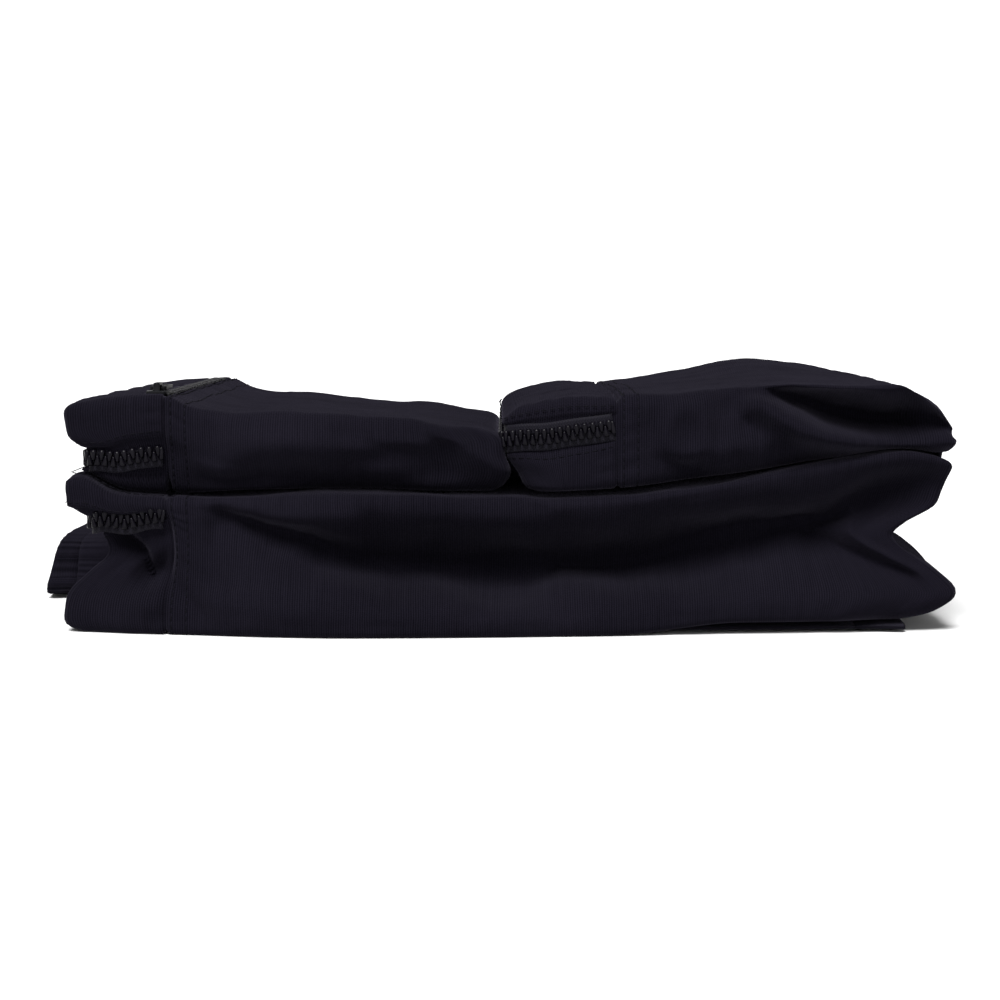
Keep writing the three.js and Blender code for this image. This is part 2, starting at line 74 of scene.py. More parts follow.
BASE_LOW, BASE_HIGH = node_mm("lower_fold_shell")
LEFT, RIGHT = float(BASE_LOW[0]), float(BASE_HIGH[0])
FRONT, REAR = float(BASE_LOW[1]), float(BASE_HIGH[1])
SLEEVE_LOW, SLEEVE_HIGH = node_mm("right_sleeve")
SLEEVE_TOP = float(SLEEVE_HIGH[2])
TOP_ZIP_LOW = node_mm("top_zip_tape_left")[0]
TOP_ZIP_HIGH = node_mm("top_zip_tape_right")[1]
TOP_ZIP_X = float(TOP_ZIP_LOW[0] + TOP_ZIP_HIGH[0]) / 2
TOP_ZIP_Z = float(TOP_ZIP_HIGH[2]) + 0.8  # the line of its teeth stands a little above the tapes


def zip_place(prefix):
    """Where a mouth's zip lies: outermost x, mid height, and the x of its cross seam."""
    low, _ = node_mm(f"{prefix}_zip_teeth_bottom")
    _, high = node_mm(f"{prefix}_zip_teeth_top")
    seam, _ = node_mm(f"{prefix}_shell")
    tooth_out = 0.7
    return {"x": float(low[0]) + tooth_out, "z": float(low[2] + high[2]) / 2, "seam": float(seam[0])}


UPPER_ZIP = zip_place("upper_fold")
LEFT_ZIP = zip_place("left_fold")
RIGHT_ZIP = zip_place("right_fold")


# ------------------------------------------------------------------ sizes chosen here, in millimetres

BAND = 10.4  # height of the band for the zip in a mouth, and how far it lies behind the cloth
BAND_DEPTH = 1.5
TOP_BAND = 9.2  # the same for the zip across the left fold
TOP_BAND_DEPTH = 3.0
TAPE_SLOT = 0.8  # from the middle of a zip to the edge of a tape
TAPE_THICKNESS = 0.6
WEB_THICKNESS = 0.8
CLOTH_STEP = 4.6  # grid of the simulated cloth, and of the covers along x, y and z
COVER_STEPS = (1.9, 2.7, 1.5)
UV_PER_MM = 0.01  # UV maps are in decimetres


# ------------------------------------------------------------------ small mathematics on arrays


def smooth(t):
    """Smoothstep: 0 below 0, 1 above 1, and 3t^2 - 2t^3 between."""
    c = np.clip(t, 0, 1)
    return c * c * (3 - 2 * c)


def bump(t, centre, width):
    """A bell: e to the minus ((t - centre) / width) squared."""
    return np.exp(-(((t - centre) / width) ** 2))


def spline(x, points):
    """A curve through (x, value) points: cubic between them, with slopes taken from the neighbours."""
    px = np.array([p[0] for p in points], float)
    py = np.array([p[1] for p in points], float)
    slope = np.gradient(py, px)
    i = np.clip(np.searchsorted(px, x) - 1, 0, len(px) - 2)
    h = px[i + 1] - px[i]
    t = np.clip((x - px[i]) / h, 0, 1)
    return (
        py[i] * (1 + 2 * t) * (1 - t) ** 2
        + slope[i] * h * t * (1 - t) ** 2
        + py[i + 1] * t * t * (3 - 2 * t)
        + slope[i + 1] * h * t * t * (t - 1)
    )


def unit(vectors):
    """Vectors brought to length 1; those of no length stay as they are."""
    length = np.linalg.norm(vectors, axis=-1, keepdims=True)
    return vectors / np.where(length == 0, 1, length)


def noise(points, scale, seed):
    """Smooth random field: sums of sines in seeded random directions, each octave finer and weaker."""
    octaves, waves, finer, weaker = 3, 7, 1.9, 1.7
    rng = np.random.default_rng(seed)
    total = np.zeros(len(points))
    for octave in range(octaves):
        directions = unit(rng.normal(size=(waves, 3)))
        phases = rng.uniform(0, 2 * math.pi, waves)
        frequency = 2 * math.pi * finer**octave / scale
        total += np.sin(points @ directions.T * frequency + phases).sum(1) / (waves**0.5 * weaker**octave)
    return total


# ------------------------------------------------------------------ meshes


def new_object(name, points_mm, faces):
    """A mesh object at the origin from points in millimetres and a list or array of faces."""
    mesh = bpy.data.meshes.new(name)
    mesh.from_pydata((np.asarray(points_mm) * MM).tolist(), [], [list(map(int, f)) for f in faces])
    mesh.validate()
    made = bpy.data.objects.new(name, mesh)
    bpy.context.scene.collection.objects.link(made)
    mesh.polygons.foreach_set("use_smooth", np.ones(len(mesh.polygons), bool))
    return made


def points_of(obj):
    """The vertices of a mesh object as an array in millimetres."""
    co = np.empty(len(obj.data.vertices) * 3, np.float32)
    obj.data.vertices.foreach_get("co", co)
    return co.reshape(-1, 3).astype(float) / MM


def put_points(obj, points_mm):
    """Writes an array in millimetres to the vertices."""
    obj.data.vertices.foreach_set("co", (points_mm * MM).astype(np.float32).ravel())
    obj.data.update()


def corners_of(mesh):
    """The vertex number of each face corner of a mesh."""
    numbers = np.empty(len(mesh.loops), np.int32)
    mesh.loops.foreach_get("vertex_index", numbers)
    return numbers


def put_uv(mesh, places_mm):
    """Writes the UV map "cloth" from a place in millimetres for each face corner."""
    layer = mesh.uv_layers.new(name="cloth")
    layer.data.foreach_set("uv", (places_mm * UV_PER_MM).astype(np.float32).ravel())


def grid_quads(index):
    """Quads between the rows and columns of a grid of vertex numbers."""
    return np.stack([index[:-1, :-1], index[1:, :-1], index[1:, 1:], index[:-1, 1:]], -1).reshape(-1, 4)


def block_grid(levels):
    """The surface of a cube from -1 to 1, gridded at the given levels of x, y and z, with shared vertices
    and outward quads. Also gives, for each of the six sides, its axis and its grid of vertex numbers."""
    counts = [len(along) for along in levels]
    grids = []
    for axis in range(3):
        one, two = (axis + 1) % 3, (axis + 2) % 3
        for end in (0, counts[axis] - 1):
            cell = np.zeros((counts[one], counts[two], 3), int)
            cell[..., axis] = end
            cell[..., one], cell[..., two] = np.indices(cell.shape[:2])
            grids.append((axis, cell))
    cells = np.concatenate([cell.reshape(-1, 3) for _, cell in grids])
    unique, where = np.unique(cells, axis=0, return_inverse=True)
    ends = np.cumsum([cell.shape[0] * cell.shape[1] for _, cell in grids])
    parts = np.split(where.reshape(-1), ends[:-1])
    sides = [(axis, part.reshape(cell.shape[:2])) for (axis, cell), part in zip(grids, parts)]
    quads = [grid_quads(index)[:, :: 1 if number % 2 else -1] for number, (_, index) in enumerate(sides)]
    places = np.stack([np.asarray(levels[k], float)[unique[:, k]] for k in range(3)], 1)
    return places, np.concatenate(quads), sides


def even_levels(size, step):
    """Evenly spaced levels from -1 to 1 for each length, about a step apart."""
    return [np.linspace(-1, 1, max(5, int(round(s / step)) + 1)) for s in size]


def with_lines(levels, marks):
    """Levels with extra ones at the marks, and without any other that lies too close to a mark."""
    too_close = 0.3 * (levels[1] - levels[0])
    clear = np.abs(levels[:, None] - np.array(marks)[None, :]).min(1) > too_close
    clear[[0, -1]] = True
    return np.unique(np.concatenate([levels[clear], marks]))


def rounded_parts(points, size, rounding):
    """The inner block's nearest points, the ways from there to the points in radii, and the radii."""
    half = np.array(size) / 2
    radii = np.minimum(np.array(rounding, float), half * 0.999)
    inner = np.clip(points, -(half - radii), half - radii)
    return inner, (points - inner) / radii, radii


def round_block(cube, size, rounding):
    """Rounds a gridded block's edges and corners: each point goes to the inner block's nearest point plus
    the rounding radius along the way there. The radius may differ along the three axes."""
    inner, reach, radii = rounded_parts(cube * (np.array(size) / 2), size, rounding)
    return inner + unit(reach) * np.abs(reach).max(1)[:, None] * radii


def outward(block, size, rounding):
    """Outward directions of a rounded block at its points."""
    return unit(rounded_parts(block, size, rounding)[1])


def between(fine, coarse):
    """Weights that carry values from evenly spaced coarse levels to fine ones: Catmull-Rom."""
    position = (fine - coarse[0]) / (coarse[1] - coarse[0])
    first = np.clip(np.floor(position).astype(int), 0, len(coarse) - 2)
    t = position - first
    shares = (
        -0.5 * t + t**2 - 0.5 * t**3,
        1 - 2.5 * t**2 + 1.5 * t**3,
        0.5 * t + 2 * t**2 - 1.5 * t**3,
        -0.5 * t**2 + 0.5 * t**3,
    )
    weights = np.zeros((len(fine), len(coarse)))
    for offset, share in enumerate(shares):
        column = np.clip(first + offset - 1, 0, len(coarse) - 1)
        np.add.at(weights, (np.arange(len(fine)), column), share)
    return weights


def carried(values, coarse, fine):
    """Values at the vertices of a coarse block grid, carried to those of a fine one, side by side."""
    (coarse_levels, coarse_sides), (fine_levels, fine_sides) = coarse, fine
    count = 1 + max(index.max() for _, index in fine_sides)
    out = np.zeros((count, values.shape[1]))
    for (axis, from_index), (_, to_index) in zip(coarse_sides, fine_sides):
        one, two = (axis + 1) % 3, (axis + 2) % 3
        w1 = between(fine_levels[one], coarse_levels[one])
        w2 = between(fine_levels[two], coarse_levels[two])
        out[to_index] = np.einsum("ai,ijk,bj->abk", w1, values[from_index], w2)
    return out


def apply_modifiers(obj):
    """Puts the mesh that an object's modifiers make in place of its own, with smooth faces."""
    bpy.context.view_layer.update()
    graph = bpy.context.evaluated_depsgraph_get()
    made = bpy.data.meshes.new_from_object(obj.evaluated_get(graph))
    obj.modifiers.clear()
    old = obj.data
    obj.data = made
    bpy.data.meshes.remove(old)
    made.name = obj.name
    made.polygons.foreach_set("use_smooth", np.ones(len(made.polygons), bool))


CLOTH = {
    "quality": 4,
    "mass": 0.15,
    "tension_stiffness": 12,
    "compression_stiffness": 12,
    "shear_stiffness": 4,
    "bending_stiffness": 0.25,
    "tension_damping": 8,
    "compression_damping": 8,
    "pin_stiffness": 1,
    "use_pressure": True,
    "uniform_pressure_force": 0.6,
}
CLOTH_FRAMES = 22


def crumple(obj, keep, growth, cap):
    """Cloth simulation of slack cloth: it is a little too large for its shape, so it buckles into wrinkles.
    keep is 1 where a vertex stays and 0 where it is free, and none ends further than cap from its start."""
    start = points_of(obj)
    group = obj.vertex_groups.new(name="held")
    levels = np.round(keep, 2)
    for level in np.unique(levels):
        if level > 0:
            group.add(np.flatnonzero(levels == level).tolist(), float(level), "REPLACE")
    cloth = obj.modifiers.new("cloth", "CLOTH")
    for setting, value in CLOTH.items():
        setattr(cloth.settings, setting, value)
    cloth.settings.shrink_min = -growth
    cloth.settings.vertex_group_mass = "held"
    cloth.settings.effector_weights.gravity = 0
    cloth.collision_settings.use_collision = False
    cloth.point_cache.frame_start = 1
    cloth.point_cache.frame_end = CLOTH_FRAMES
    scene = bpy.context.scene
    for number in range(1, CLOTH_FRAMES + 1):
        scene.frame_set(number)
    apply_modifiers(obj)
    obj.vertex_groups.clear()
    scene.frame_set(1)
    shift = points_of(obj) - start
    length = np.linalg.norm(shift, axis=1)
    length[length == 0] = 1
    shift *= (cap * np.tanh(length / cap) / length)[:, None]
    put_points(obj, start + shift)


# ------------------------------------------------------------------ heights and outlines of the base


def base_top(x):
    """Height of the upper fold's top: level at the left, rising to the right."""
    return spline(x, [
        (LEFT, 61), (-159, 60), (-150, 54.5), (-140, 52.8), (-100, 53.4), (-60, 53.7), (0, 52.8),
        (45, 54.9), (90, 60.4), (125, 66), (150, 69.4), (RIGHT, 66.4),
    ])


def crease_height(x):
    """Height of the valley between the lower and the upper fold on the front."""
    return spline(x, [
        (LEFT, 50), (-108, 45), (-74, 34), (-50, 27.5), (-20, 24), (20, 25), (60, 29), (100, 35.5),
        (122, 42), (135, 47.5), (RIGHT, 55),
    ])


def base_left(z):
    """The base's left end, from the ground up: the lower roll, the recess and the slanting mouth."""
    zip_x, zip_z = UPPER_ZIP["x"], UPPER_ZIP["z"]
    return spline(z, [
        (0, -168), (4, -170), (9, -170), (16, -168), (23, -161), (30, -153.5),
        (zip_z - 6, zip_x + 5), (zip_z, zip_x), (zip_z + 4.8, zip_x - 7.5),
        (52, -169), (60, -169), (70, -163),
    ])


def base_right(z):
    """The base's right end: the lower roll, the notch, and the upper roll."""
    return spline(z, [
        (0, 141), (3, 150), (7, 161), (12, 168), (16, 169.5), (21, 165), (28, 157.5), (34, 150.5),
        (38.5, 147), (42, 152), (48, 163), (54, 166), (62, 169), (70, 169.5), (74, 168),
    ])


# ------------------------------------------------------------------ a fold and how it is shaped


class Fold:
    """A soft section of the bag. It is worked out in block coordinates: a rounded block about the origin
    with the fold's length, depth and height. shape() carries block points to their real places."""

    def __init__(self, name, prefix, x_range, height, rounding, shaper, mouth, seed, top_zip=None):
        self.name, self.prefix = name, prefix
        self.start, end = x_range
        self.middle = (self.start + end) / 2
        self.size = (end - self.start, REAR - FRONT, height)
        self.rounding = rounding
        self.shaper = shaper
        self.seed = seed
        self.zip_z = self.block_height(mouth["z"])
        self.seam = self.block_x(mouth["seam"], FRONT, self.zip_z / height + 0.5)
        self.top_zip = None if top_zip is None else self.block_x(top_zip, 0.0, 1.0)

    def shape(self, block):
        """Real points of block points: x, y and the share of the height, 0 to 1, go to the shaper."""
        y = block[:, 1] + (FRONT + REAR) / 2
        return self.shaper(block[:, 0] + self.middle, y, block[:, 2] / self.size[2] + 0.5)

    def block_height(self, target):
        """Block z at which the shaped left end has a real height."""
        t = np.linspace(0, 1, 2001)
        heights = self.shaper(np.full_like(t, self.start + 2.0), np.full_like(t, REAR), t)[:, 2]
        return (t[np.abs(heights - target).argmin()] - 0.5) * self.size[2]

    def block_x(self, target, y, share):
        """Block x at which the shaped surface, at a depth y and a share of the height, has a real x."""
        x = np.linspace(self.start, self.start + 80, 4001)
        shaped = self.shaper(x, np.full_like(x, y), np.full_like(x, share))[:, 0]
        return x[np.abs(shaped - target).argmin()] - self.middle

    def levels(self):
        """Grid levels of the cover, from -1 to 1, with extra ones beside the cross seam and the zips."""
        half_x, _, half_z = np.array(self.size) / 2
        x, y, z = (even_levels((size,), step)[0] for size, step in zip(self.size, COVER_STEPS))
        marks = [self.seam / half_x + d / half_x for d in (-1.2, -0.4, 0, 0.4, 1.2)]
        if self.top_zip is not None:
            edges = [self.top_zip - TOP_BAND / 2, self.top_zip + TOP_BAND / 2]
            marks += [(edge + d) / half_x for edge in edges for d in (-0.5, 0.0, 0.5)]
        edges = [(self.zip_z - BAND / 2) / half_z, (self.zip_z + BAND / 2) / half_z]
        z_marks = [edge + d / half_z for edge in edges for d in (-0.6, -0.15, 0.3)]
        return [with_lines(x, sorted(marks)), y, with_lines(z, z_marks)]

    def groove(self, block):
        """How far the cover lies behind its plain surface: in the zips' bands and at the cross seam."""
        from_zip = np.abs(block[:, 2] - self.zip_z)
        in_mouth = 1 - smooth((block[:, 0] - self.seam + 1.2) / 1.0)
        band = BAND_DEPTH * (1 - smooth((from_zip - BAND / 2 + 0.5) / 0.7)) * in_mouth
        if self.top_zip is not None:
            half_length = 109
            across = np.abs(block[:, 0] - self.top_zip)
            on_top = smooth(block[:, 2] - self.size[2] / 2 + 1.5)
            on_top *= 1 - smooth((np.abs(block[:, 1]) - half_length) / 2)
            top_band = TOP_BAND_DEPTH * (1 - smooth((across - TOP_BAND / 2 + 0.5) / 0.7)) * on_top
            band = np.maximum(band, top_band)
        return np.maximum(band, 1.5 * bump(block[:, 0], self.seam, 0.75))

    def wrinkles(self, block):
        """Small rises: broad and fine unevenness, and puckers beside the cross seam and the band."""
        from_seam, from_zip = block[:, 0] - self.seam, np.abs(block[:, 2] - self.zip_z)
        broad = 0.45 * noise(block * (1.0, 1.5, 1.3), 62, self.seed)
        fine = 0.16 * noise(block * (1.0, 1.3, 1.0), 21, self.seed + 1)
        run = block[:, 1] + block[:, 2]
        pucker = 0.34 * np.sin(run / 1.25 + 1.4 * np.sin(run / 9)) * bump(np.abs(from_seam), 4.5, 3.2)
        along = block[:, 0] - block[:, 1]
        beside_band = bump(from_zip, BAND / 2 + 4, 2.4) * (from_seam < 0)
        pucker += 0.22 * np.sin(along / 1.3 + 1.2 * np.sin(along / 11)) * beside_band
        clear = smooth((block[:, 2] + self.size[2] / 2) / 6)
        clear *= 1 - (1 - smooth((from_zip - BAND / 2) / 3)) * (1 - smooth(from_seam / 4))
        return (broad + fine + pucker) * clear

    def surface(self, block):
        """Real points of the cover, with grooves and wrinkles, for block points on the plain surface."""
        rise = self.wrinkles(block) - self.groove(block)
        return self.shape(block + outward(block, self.size, self.rounding) * rise[:, None])


def cloth_uv(obj, block, size):
    """A UV map that runs with the cloth: across the ribs first. Ends take y, all other sides x."""
    mesh = obj.data
    loops = corners_of(mesh)
    starts = np.empty(len(mesh.polygons), np.int32)
    mesh.polygons.foreach_get("loop_start", starts)
    owner = np.repeat(np.arange(len(starts)), np.diff(np.append(starts, len(loops))))
    share = np.abs(block / (np.array(size) / 2))
    centre = np.stack([np.bincount(owner, share[loops, k]) for k in range(3)], 1)
    side = centre.argmax(1)[owner]
    corner = block[loops]
    across = np.where(side == 0, -corner[:, 1], corner[:, 0])
    up = np.where(side == 2, corner[:, 1], corner[:, 2])
    put_uv(mesh, np.stack([across, up], 1))


def valley(z, at, above, below, depth):
    """Depth of a valley at height at: a bell whose flanks are as wide as above and below it."""
    reach = np.where(z > at, (z - at) / above, (at - z) / below)
    return depth * np.exp(-(reach**2.2))


def dent(x, z, x0, z0, wide, high, depth):
    """An oval dent of bell section."""
    return depth * np.exp(-(((x - x0) / wide) ** 2) - ((z - z0) / high) ** 2)


def fold_line(x, z, start, end, depth, above, below):
    """A crease from start to end, with a flank above and one below, fading out past its ends."""
    fade = 8.0
    a, b = np.array(start, float), np.array(end, float)
    length = np.linalg.norm(b - a)
    unit_x, unit_z = (b - a) / length
    along = (x - a[0]) * unit_x + (z - a[1]) * unit_z
    side = (z - a[1]) * unit_x - (x - a[0]) * unit_z
    across = np.where(side > 0, side / above, -side / below)
    ends = smooth((along + fade) / fade) * smooth((length + fade - along) / fade)
    return depth * np.exp(-(across**1.3)) * ends


def relief(x, z, creases, dents):
    """How deep the creases and dents of a front lie together."""
    lines = sum(fold_line(x, z, *crease) for crease in creases)
    return lines + sum(dent(x, z, *oval) for oval in dents)


def near_front(y, reach=60.0):
    """1 on the front, falling to 0 at a distance behind it."""
    return 1 - smooth((y - FRONT) / reach)


def near_rear(y):
    """1 on the rear, falling to 0 at a distance before it."""
    return 1 - smooth((REAR - y) / 60.0)


# Creases have a start, an end, a depth and the widths of their flanks above and below; one of less than no
# depth is a ridge. Dents have a place, half sizes along x and z, and a depth.

BASE_CREASES = (
    ((-156, 37), (-139, 22), 9, 2.2, 9),
    ((-149, 24), (-136, 12), -3.5, 5, 6),
    ((-134, 24), (-118, 10), 3, 4, 3),
    ((120, 34), (153, 24), 5, 3, 9),
    ((134, 48), (157, 26), -4, 4, 5),
    ((-108, 47), (-72, 35), 4.5, 2.5, 9),
    ((-100, 47), (-60, 38), -2.5, 6, 3),
    ((-92, 30), (-60, 12), 2.2, 7, 5),
    ((-70, 26), (-45, 14), 1.6, 6, 4),
    ((20, 22), (62, 8), 2.0, 8, 5),
    ((92, 24), (120, 9), 2.2, 7, 5),
    ((-14, 54), (10, 50), 2.4, 3, 6),
    ((60, 52), (105, 60), 1.6, 5, 4),
)
BASE_DENTS = ((-136, 24, 8, 7, 7), (46, 17, 14, 5, 1.6), (84, 17, 12, 6, 1.8), (-22, 49, 22, 5, 1.2))
LEFT_CREASES = (
    ((-26, 78), (-8, 62), -4, 6, 5),
    ((-14, 74), (-4, 60), 3, 3, 4),
    ((-124, 70), (-96, 63), 1.6, 5, 4),
    ((-62, 76), (-38, 68), 1.8, 6, 4),
)
LEFT_DENTS = ((-52, 66, 20, 5, 3.5), (-108, 58, 14, 4, 3), (-26, 66, 8, 8, 3.5), (-84, 62, 14, 5, 2.2))
RIGHT_CREASES = (
    ((78, 92), (90, 80), 3.5, 3, 5),
    ((96, 88), (108, 76), -2.5, 4, 4),
    ((58, 66), (76, 60), 2.0, 4, 3),
)
RIGHT_DENTS = ((68, 62, 7, 7, 2.6), (87, 91, 7, 6, 3.2), (52, 76, 6, 12, 1.4), (112, 66, 12, 4, 3))


def shape_base(x, y, t):
    """Lower and upper fold as one cover: heights, the ends' outlines, the valleys front and rear."""
    tilt = spline(x, [(LEFT, 0), (-155, 4.2), (-145, 9.8), (-132, 13), (-120, 6), (-108, 0), (-100, 0)])
    over_sleeve = smooth((x - SLEEVE_LOW[0] + 4) / 50) * (1 - smooth((y - SLEEVE_HIGH[1]) / 25))
    seat = (SLEEVE_TOP + 0.5) * over_sleeve
    z = seat + t * (base_top(x) - seat) + tilt * np.sin(math.pi * np.clip(t, 0, 1)) ** 2
    at_left, at_right = 1 - smooth((x - LEFT) / 50), 1 - smooth((RIGHT - x) / 60)
    real_x = x + (base_left(z) - LEFT) * at_left + (base_right(z) - RIGHT) * at_right
    depth = spline(x, [
        (LEFT, 0), (-122, 0), (-108, 3.5), (-80, 10), (-50, 20), (-10, 27), (50, 31), (100, 31), (130, 26),
        (146, 20), (RIGHT, 9),
    ])
    above = spline(x, [
        (LEFT, 3), (-100, 4), (-70, 8), (-30, 15), (50, 18), (100, 19), (125, 16), (RIGHT, 9),
    ])
    below = spline(x, [
        (LEFT, 10), (-100, 9), (-70, 10), (-30, 10), (50, 12), (100, 15), (125, 18), (RIGHT, 18),
    ])
    back = valley(z, crease_height(x), above, below, depth)
    low = 1 - smooth((z - 28) / 20)
    corner = 4 * (1 - smooth((x - LEFT) / 30)) * low + 7 * (1 - smooth((RIGHT - x) / 50)) * low
    bulge = -14.5 * smooth((x - LEFT) / 110) * smooth((RIGHT - x) / 240) * bump(z, 2, 18)
    bulge += -3 * bump(z, 13, 8) * smooth((x + 150) / 60)
    roll = base_top(x) - 7
    belly = -5 * smooth((x + 110) / 80) * smooth((165 - x) / 40) * bump(z, roll, 9)
    mouth = 1 - smooth((x + 132) / 6)
    slant = 4.0 * (UPPER_ZIP["z"] + 6 - z) / 12 * bump(z, UPPER_ZIP["z"] - 2, 9) * mouth
    detail = relief(x, z, BASE_CREASES, BASE_DENTS)
    real_y = y + near_front(y) * (back + corner + bulge + belly + slant + detail)
    real_y -= near_rear(y) * valley(z, 28 + 0.06 * x, 11, 11, 12)
    waves = 1.2 * (np.sin(x / 31) * np.sin(y / 43 + 1) - 1)
    sag = waves * smooth((t - 0.6) / 0.4) * smooth((x - LEFT - 35) / 30)
    return np.stack([real_x, real_y, z + sag], 1)


def left_top(x):
    """Height of the left fold's front upper edge: up to the zip across it, then falling to the right."""
    under_zip = TOP_ZIP_Z + 1.5
    return spline(x, [
        (LEFT, 87), (-158, 88.4), (-148, 90), (TOP_ZIP_X - 6, under_zip), (TOP_ZIP_X + 6, under_zip),
        (-122, 86.8), (-80, 83.4), (-40, 81.2), (-10, 78), (0, 77),
    ])


def shape_left(x, y, t):
    """Left fold: flat top that falls to the right, crisp upper front edge, lower edge tucked under."""
    bottom = base_top(x) + 0.6
    behind = smooth((y - FRONT - 20) / (REAR - FRONT - 20))
    top = left_top(x) - 3.6 * behind * smooth((x + 105) / 60) + 1.4 * bump(x, -32, 15) * behind
    top -= 1.0 * behind * bump(x, TOP_ZIP_X, 24)
    tilt = spline(x, [(LEFT, 0), (-157, 1.2), (-148, 6), (-139, 8), (-129, 8.6), (-117, 2), (-108, 0)])
    z = bottom + t * (top - bottom) + tilt * np.sin(math.pi * np.clip(t, 0, 1) ** 0.6)
    front = near_front(y)
    zip_x, zip_z = LEFT_ZIP["x"], LEFT_ZIP["z"]
    end_left = spline(z, [
        (50, -161), (56, -166), (60, -168), (zip_z - 2, zip_x - 0.8), (zip_z + 3, zip_x - 1),
        (75, -168), (82, -169.5), (90, -169),
    ])
    end_right = spline(z, [(50, -6), (56, -3.5), (62, -2), (68, -2.8), (74, -5.5), (80, -12), (90, -17)])
    end_right += front * (2.6 * bump(z, 60, 6) + 2.4 * bump(z, 74, 5))
    at_left, at_right = 1 - smooth((x - LEFT) / 40), 1 - smooth((-5 - x) / 36)
    real_x = x + (end_left - LEFT) * at_left + (end_right + 5) * at_right
    tuck = spline(x, [
        (LEFT, 1), (-150, 3), (-128, 8), (-106, 6), (-90, 8), (-70, 12), (-48, 11), (-28, 7), (0, 5),
    ])
    under = tuck * (1 - smooth((t - 0.02) / 0.5)) ** 1.3
    belly = -3.8 * bump(t, 0.66, 0.26) * smooth((x + 128) / 40) * smooth((-2 - x) / 44)
    corner = 4 * (1 - smooth((x - LEFT) / 30)) + 7 * (1 - smooth((-5 - x) / 26))
    detail = relief(x, z, LEFT_CREASES, LEFT_DENTS)
    rear_tuck = near_rear(y) * 6 * (1 - smooth((t - 0.05) / 0.5))
    real_y = y + front * (under + belly + corner + detail) - rear_tuck
    rim = 1.0 * bump(y, FRONT + 5, 4) * smooth((x + 122) / 12) * smooth((-20 - x) / 20)
    sag = (rim - 0.8 * bump(y, 0, 80) * smooth((x - TOP_ZIP_X - 8) / 40)) * smooth((t - 0.7) / 0.3)
    return np.stack([real_x, real_y, z + sag], 1)


def right_top(x):
    """Height of the right fold's front upper edge."""
    return spline(x, [
        (-4, 85.5), (2, 87.2), (12, 89.4), (23, 90.8), (38, 90.4), (60, 90.8), (80, 92), (101, 94.4),
        (130, 94.6), (145, 94.4), (155, 93.2), (162, 88), (RIGHT, 80),
    ])


def shape_right(x, y, t):
    """Right fold: crowned towards the rear, with a deep fold that opens at its right end."""
    bottom = base_top(x) + 0.6
    behind = smooth((y - FRONT) / (REAR - FRONT))
    hump = 7.4 * bump(x, 108, 56) * smooth((y + 90) / 120)
    top = right_top(x) + hump - (4 + 1.5 * smooth((x - 100) / 50)) * behind
    z = bottom + t * (top - bottom)
    mouth = (RIGHT_ZIP["z"], RIGHT_ZIP["x"])
    end_left = spline(z, [(52, 7.5), (58, 6), (66, 2.5), mouth, (82, -3.5), (90, -1)])
    end_right = spline(z, [
        (66, 166.5), (70, 168.5), (76, 169), (82, 168), (88, 165.5), (94, 159), (104, 151),
    ])
    at_left, at_right = 1 - smooth((x + 4) / 30), 1 - smooth((RIGHT - x) / 40)
    real_x = x + (end_left + 4) * at_left + (end_right - RIGHT) * at_right
    middle = spline(x, [(94, 92), (106, 88.5), (122, 84.5), (140, 81.5), (RIGHT, 79)])
    wide = spline(x, [(90, 2.5), (102, 4), (118, 6), (140, 6.8), (RIGHT, 5)])
    depth = spline(x, [(84, 0), (98, 8), (110, 18), (132, 26), (148, 22), (158, 10), (RIGHT, 4)])
    back = depth * np.exp(-(np.abs((z - middle) / wide) ** 2.4))
    corner = 5 * (1 - smooth((x + 4) / 30)) + 3 * (1 - smooth((RIGHT - x) / 30))
    under = 6 * (1 - smooth((t - 0.02) / 0.35)) * smooth((x - 42) / 25)
    crest = spline(x, [(90, 85), (104, 79.5), (118, 75.5), (140, 73), (RIGHT, 72.5)])
    ridge = -6 * bump(z, crest, 4.5) * smooth((x - 88) / 22)
    lip = -3.5 * bump(z, right_top(x) - 1, 3.5) * smooth((x - 92) / 20)
    detail = relief(x, z, RIGHT_CREASES, RIGHT_DENTS)
    for ring_x, ring_z in ((66.5, 76.5), (93, 77)):
        radius = np.hypot(x - ring_x, (z - ring_z) * 0.85)
        detail -= 1.7 * bump(radius, 7.6, 3.0) - 0.4 * bump(radius, 0, 5)
    real_y = y + near_front(y) * (back + corner + under + ridge + lip + detail)
    real_y -= near_rear(y) * 6 * (1 - smooth((t - 0.05) / 0.5))
    step = 1.6 * (smooth((x - 40) / 4) - 0.5) * bump(y, FRONT + 8, 9) * (1 - smooth((x - 84) / 12))
    sag = (1.1 * np.sin(x / 17 + 1) * np.sin(y / 37) + step) * smooth((t - 0.7) / 0.3)
    front_tilt = spline(x, [(-4, -5), (5, -6.2), (12, -7.4), (25, -6.4), (40, -3.4), (54, 0), (60, 0)])
    rear_tilt = spline(x, [
        (-4, 0), (5, -1.8), (12, -3.6), (20, -5.1), (28, -5.8), (40, -6.2), (66, 0), (80, 0),
    ])
    towards_front = near_front(y, 150)
    tilt = front_tilt * towards_front + rear_tilt * (1 - towards_front)
    return np.stack([real_x, real_y, z + sag + tilt * np.sin(math.pi * np.clip(t, 0, 1))], 1)


BASE = Fold("base", "upper_fold", (LEFT, RIGHT), 60, (8, 4, 3.5), shape_base, UPPER_ZIP, 3)
LEFT_FOLD = Fold("left_fold", "left_fold", (LEFT, -5), 32, (4.5, 5, 4), shape_left, LEFT_ZIP, 5, TOP_ZIP_X)
RIGHT_FOLD = Fold("right_fold", "right_fold", (-4, RIGHT), 38, (9, 6, 6), shape_right, RIGHT_ZIP, 8)
FOLDS = (BASE, LEFT_FOLD, RIGHT_FOLD)


# ------------------------------------------------------------------ shader expressions


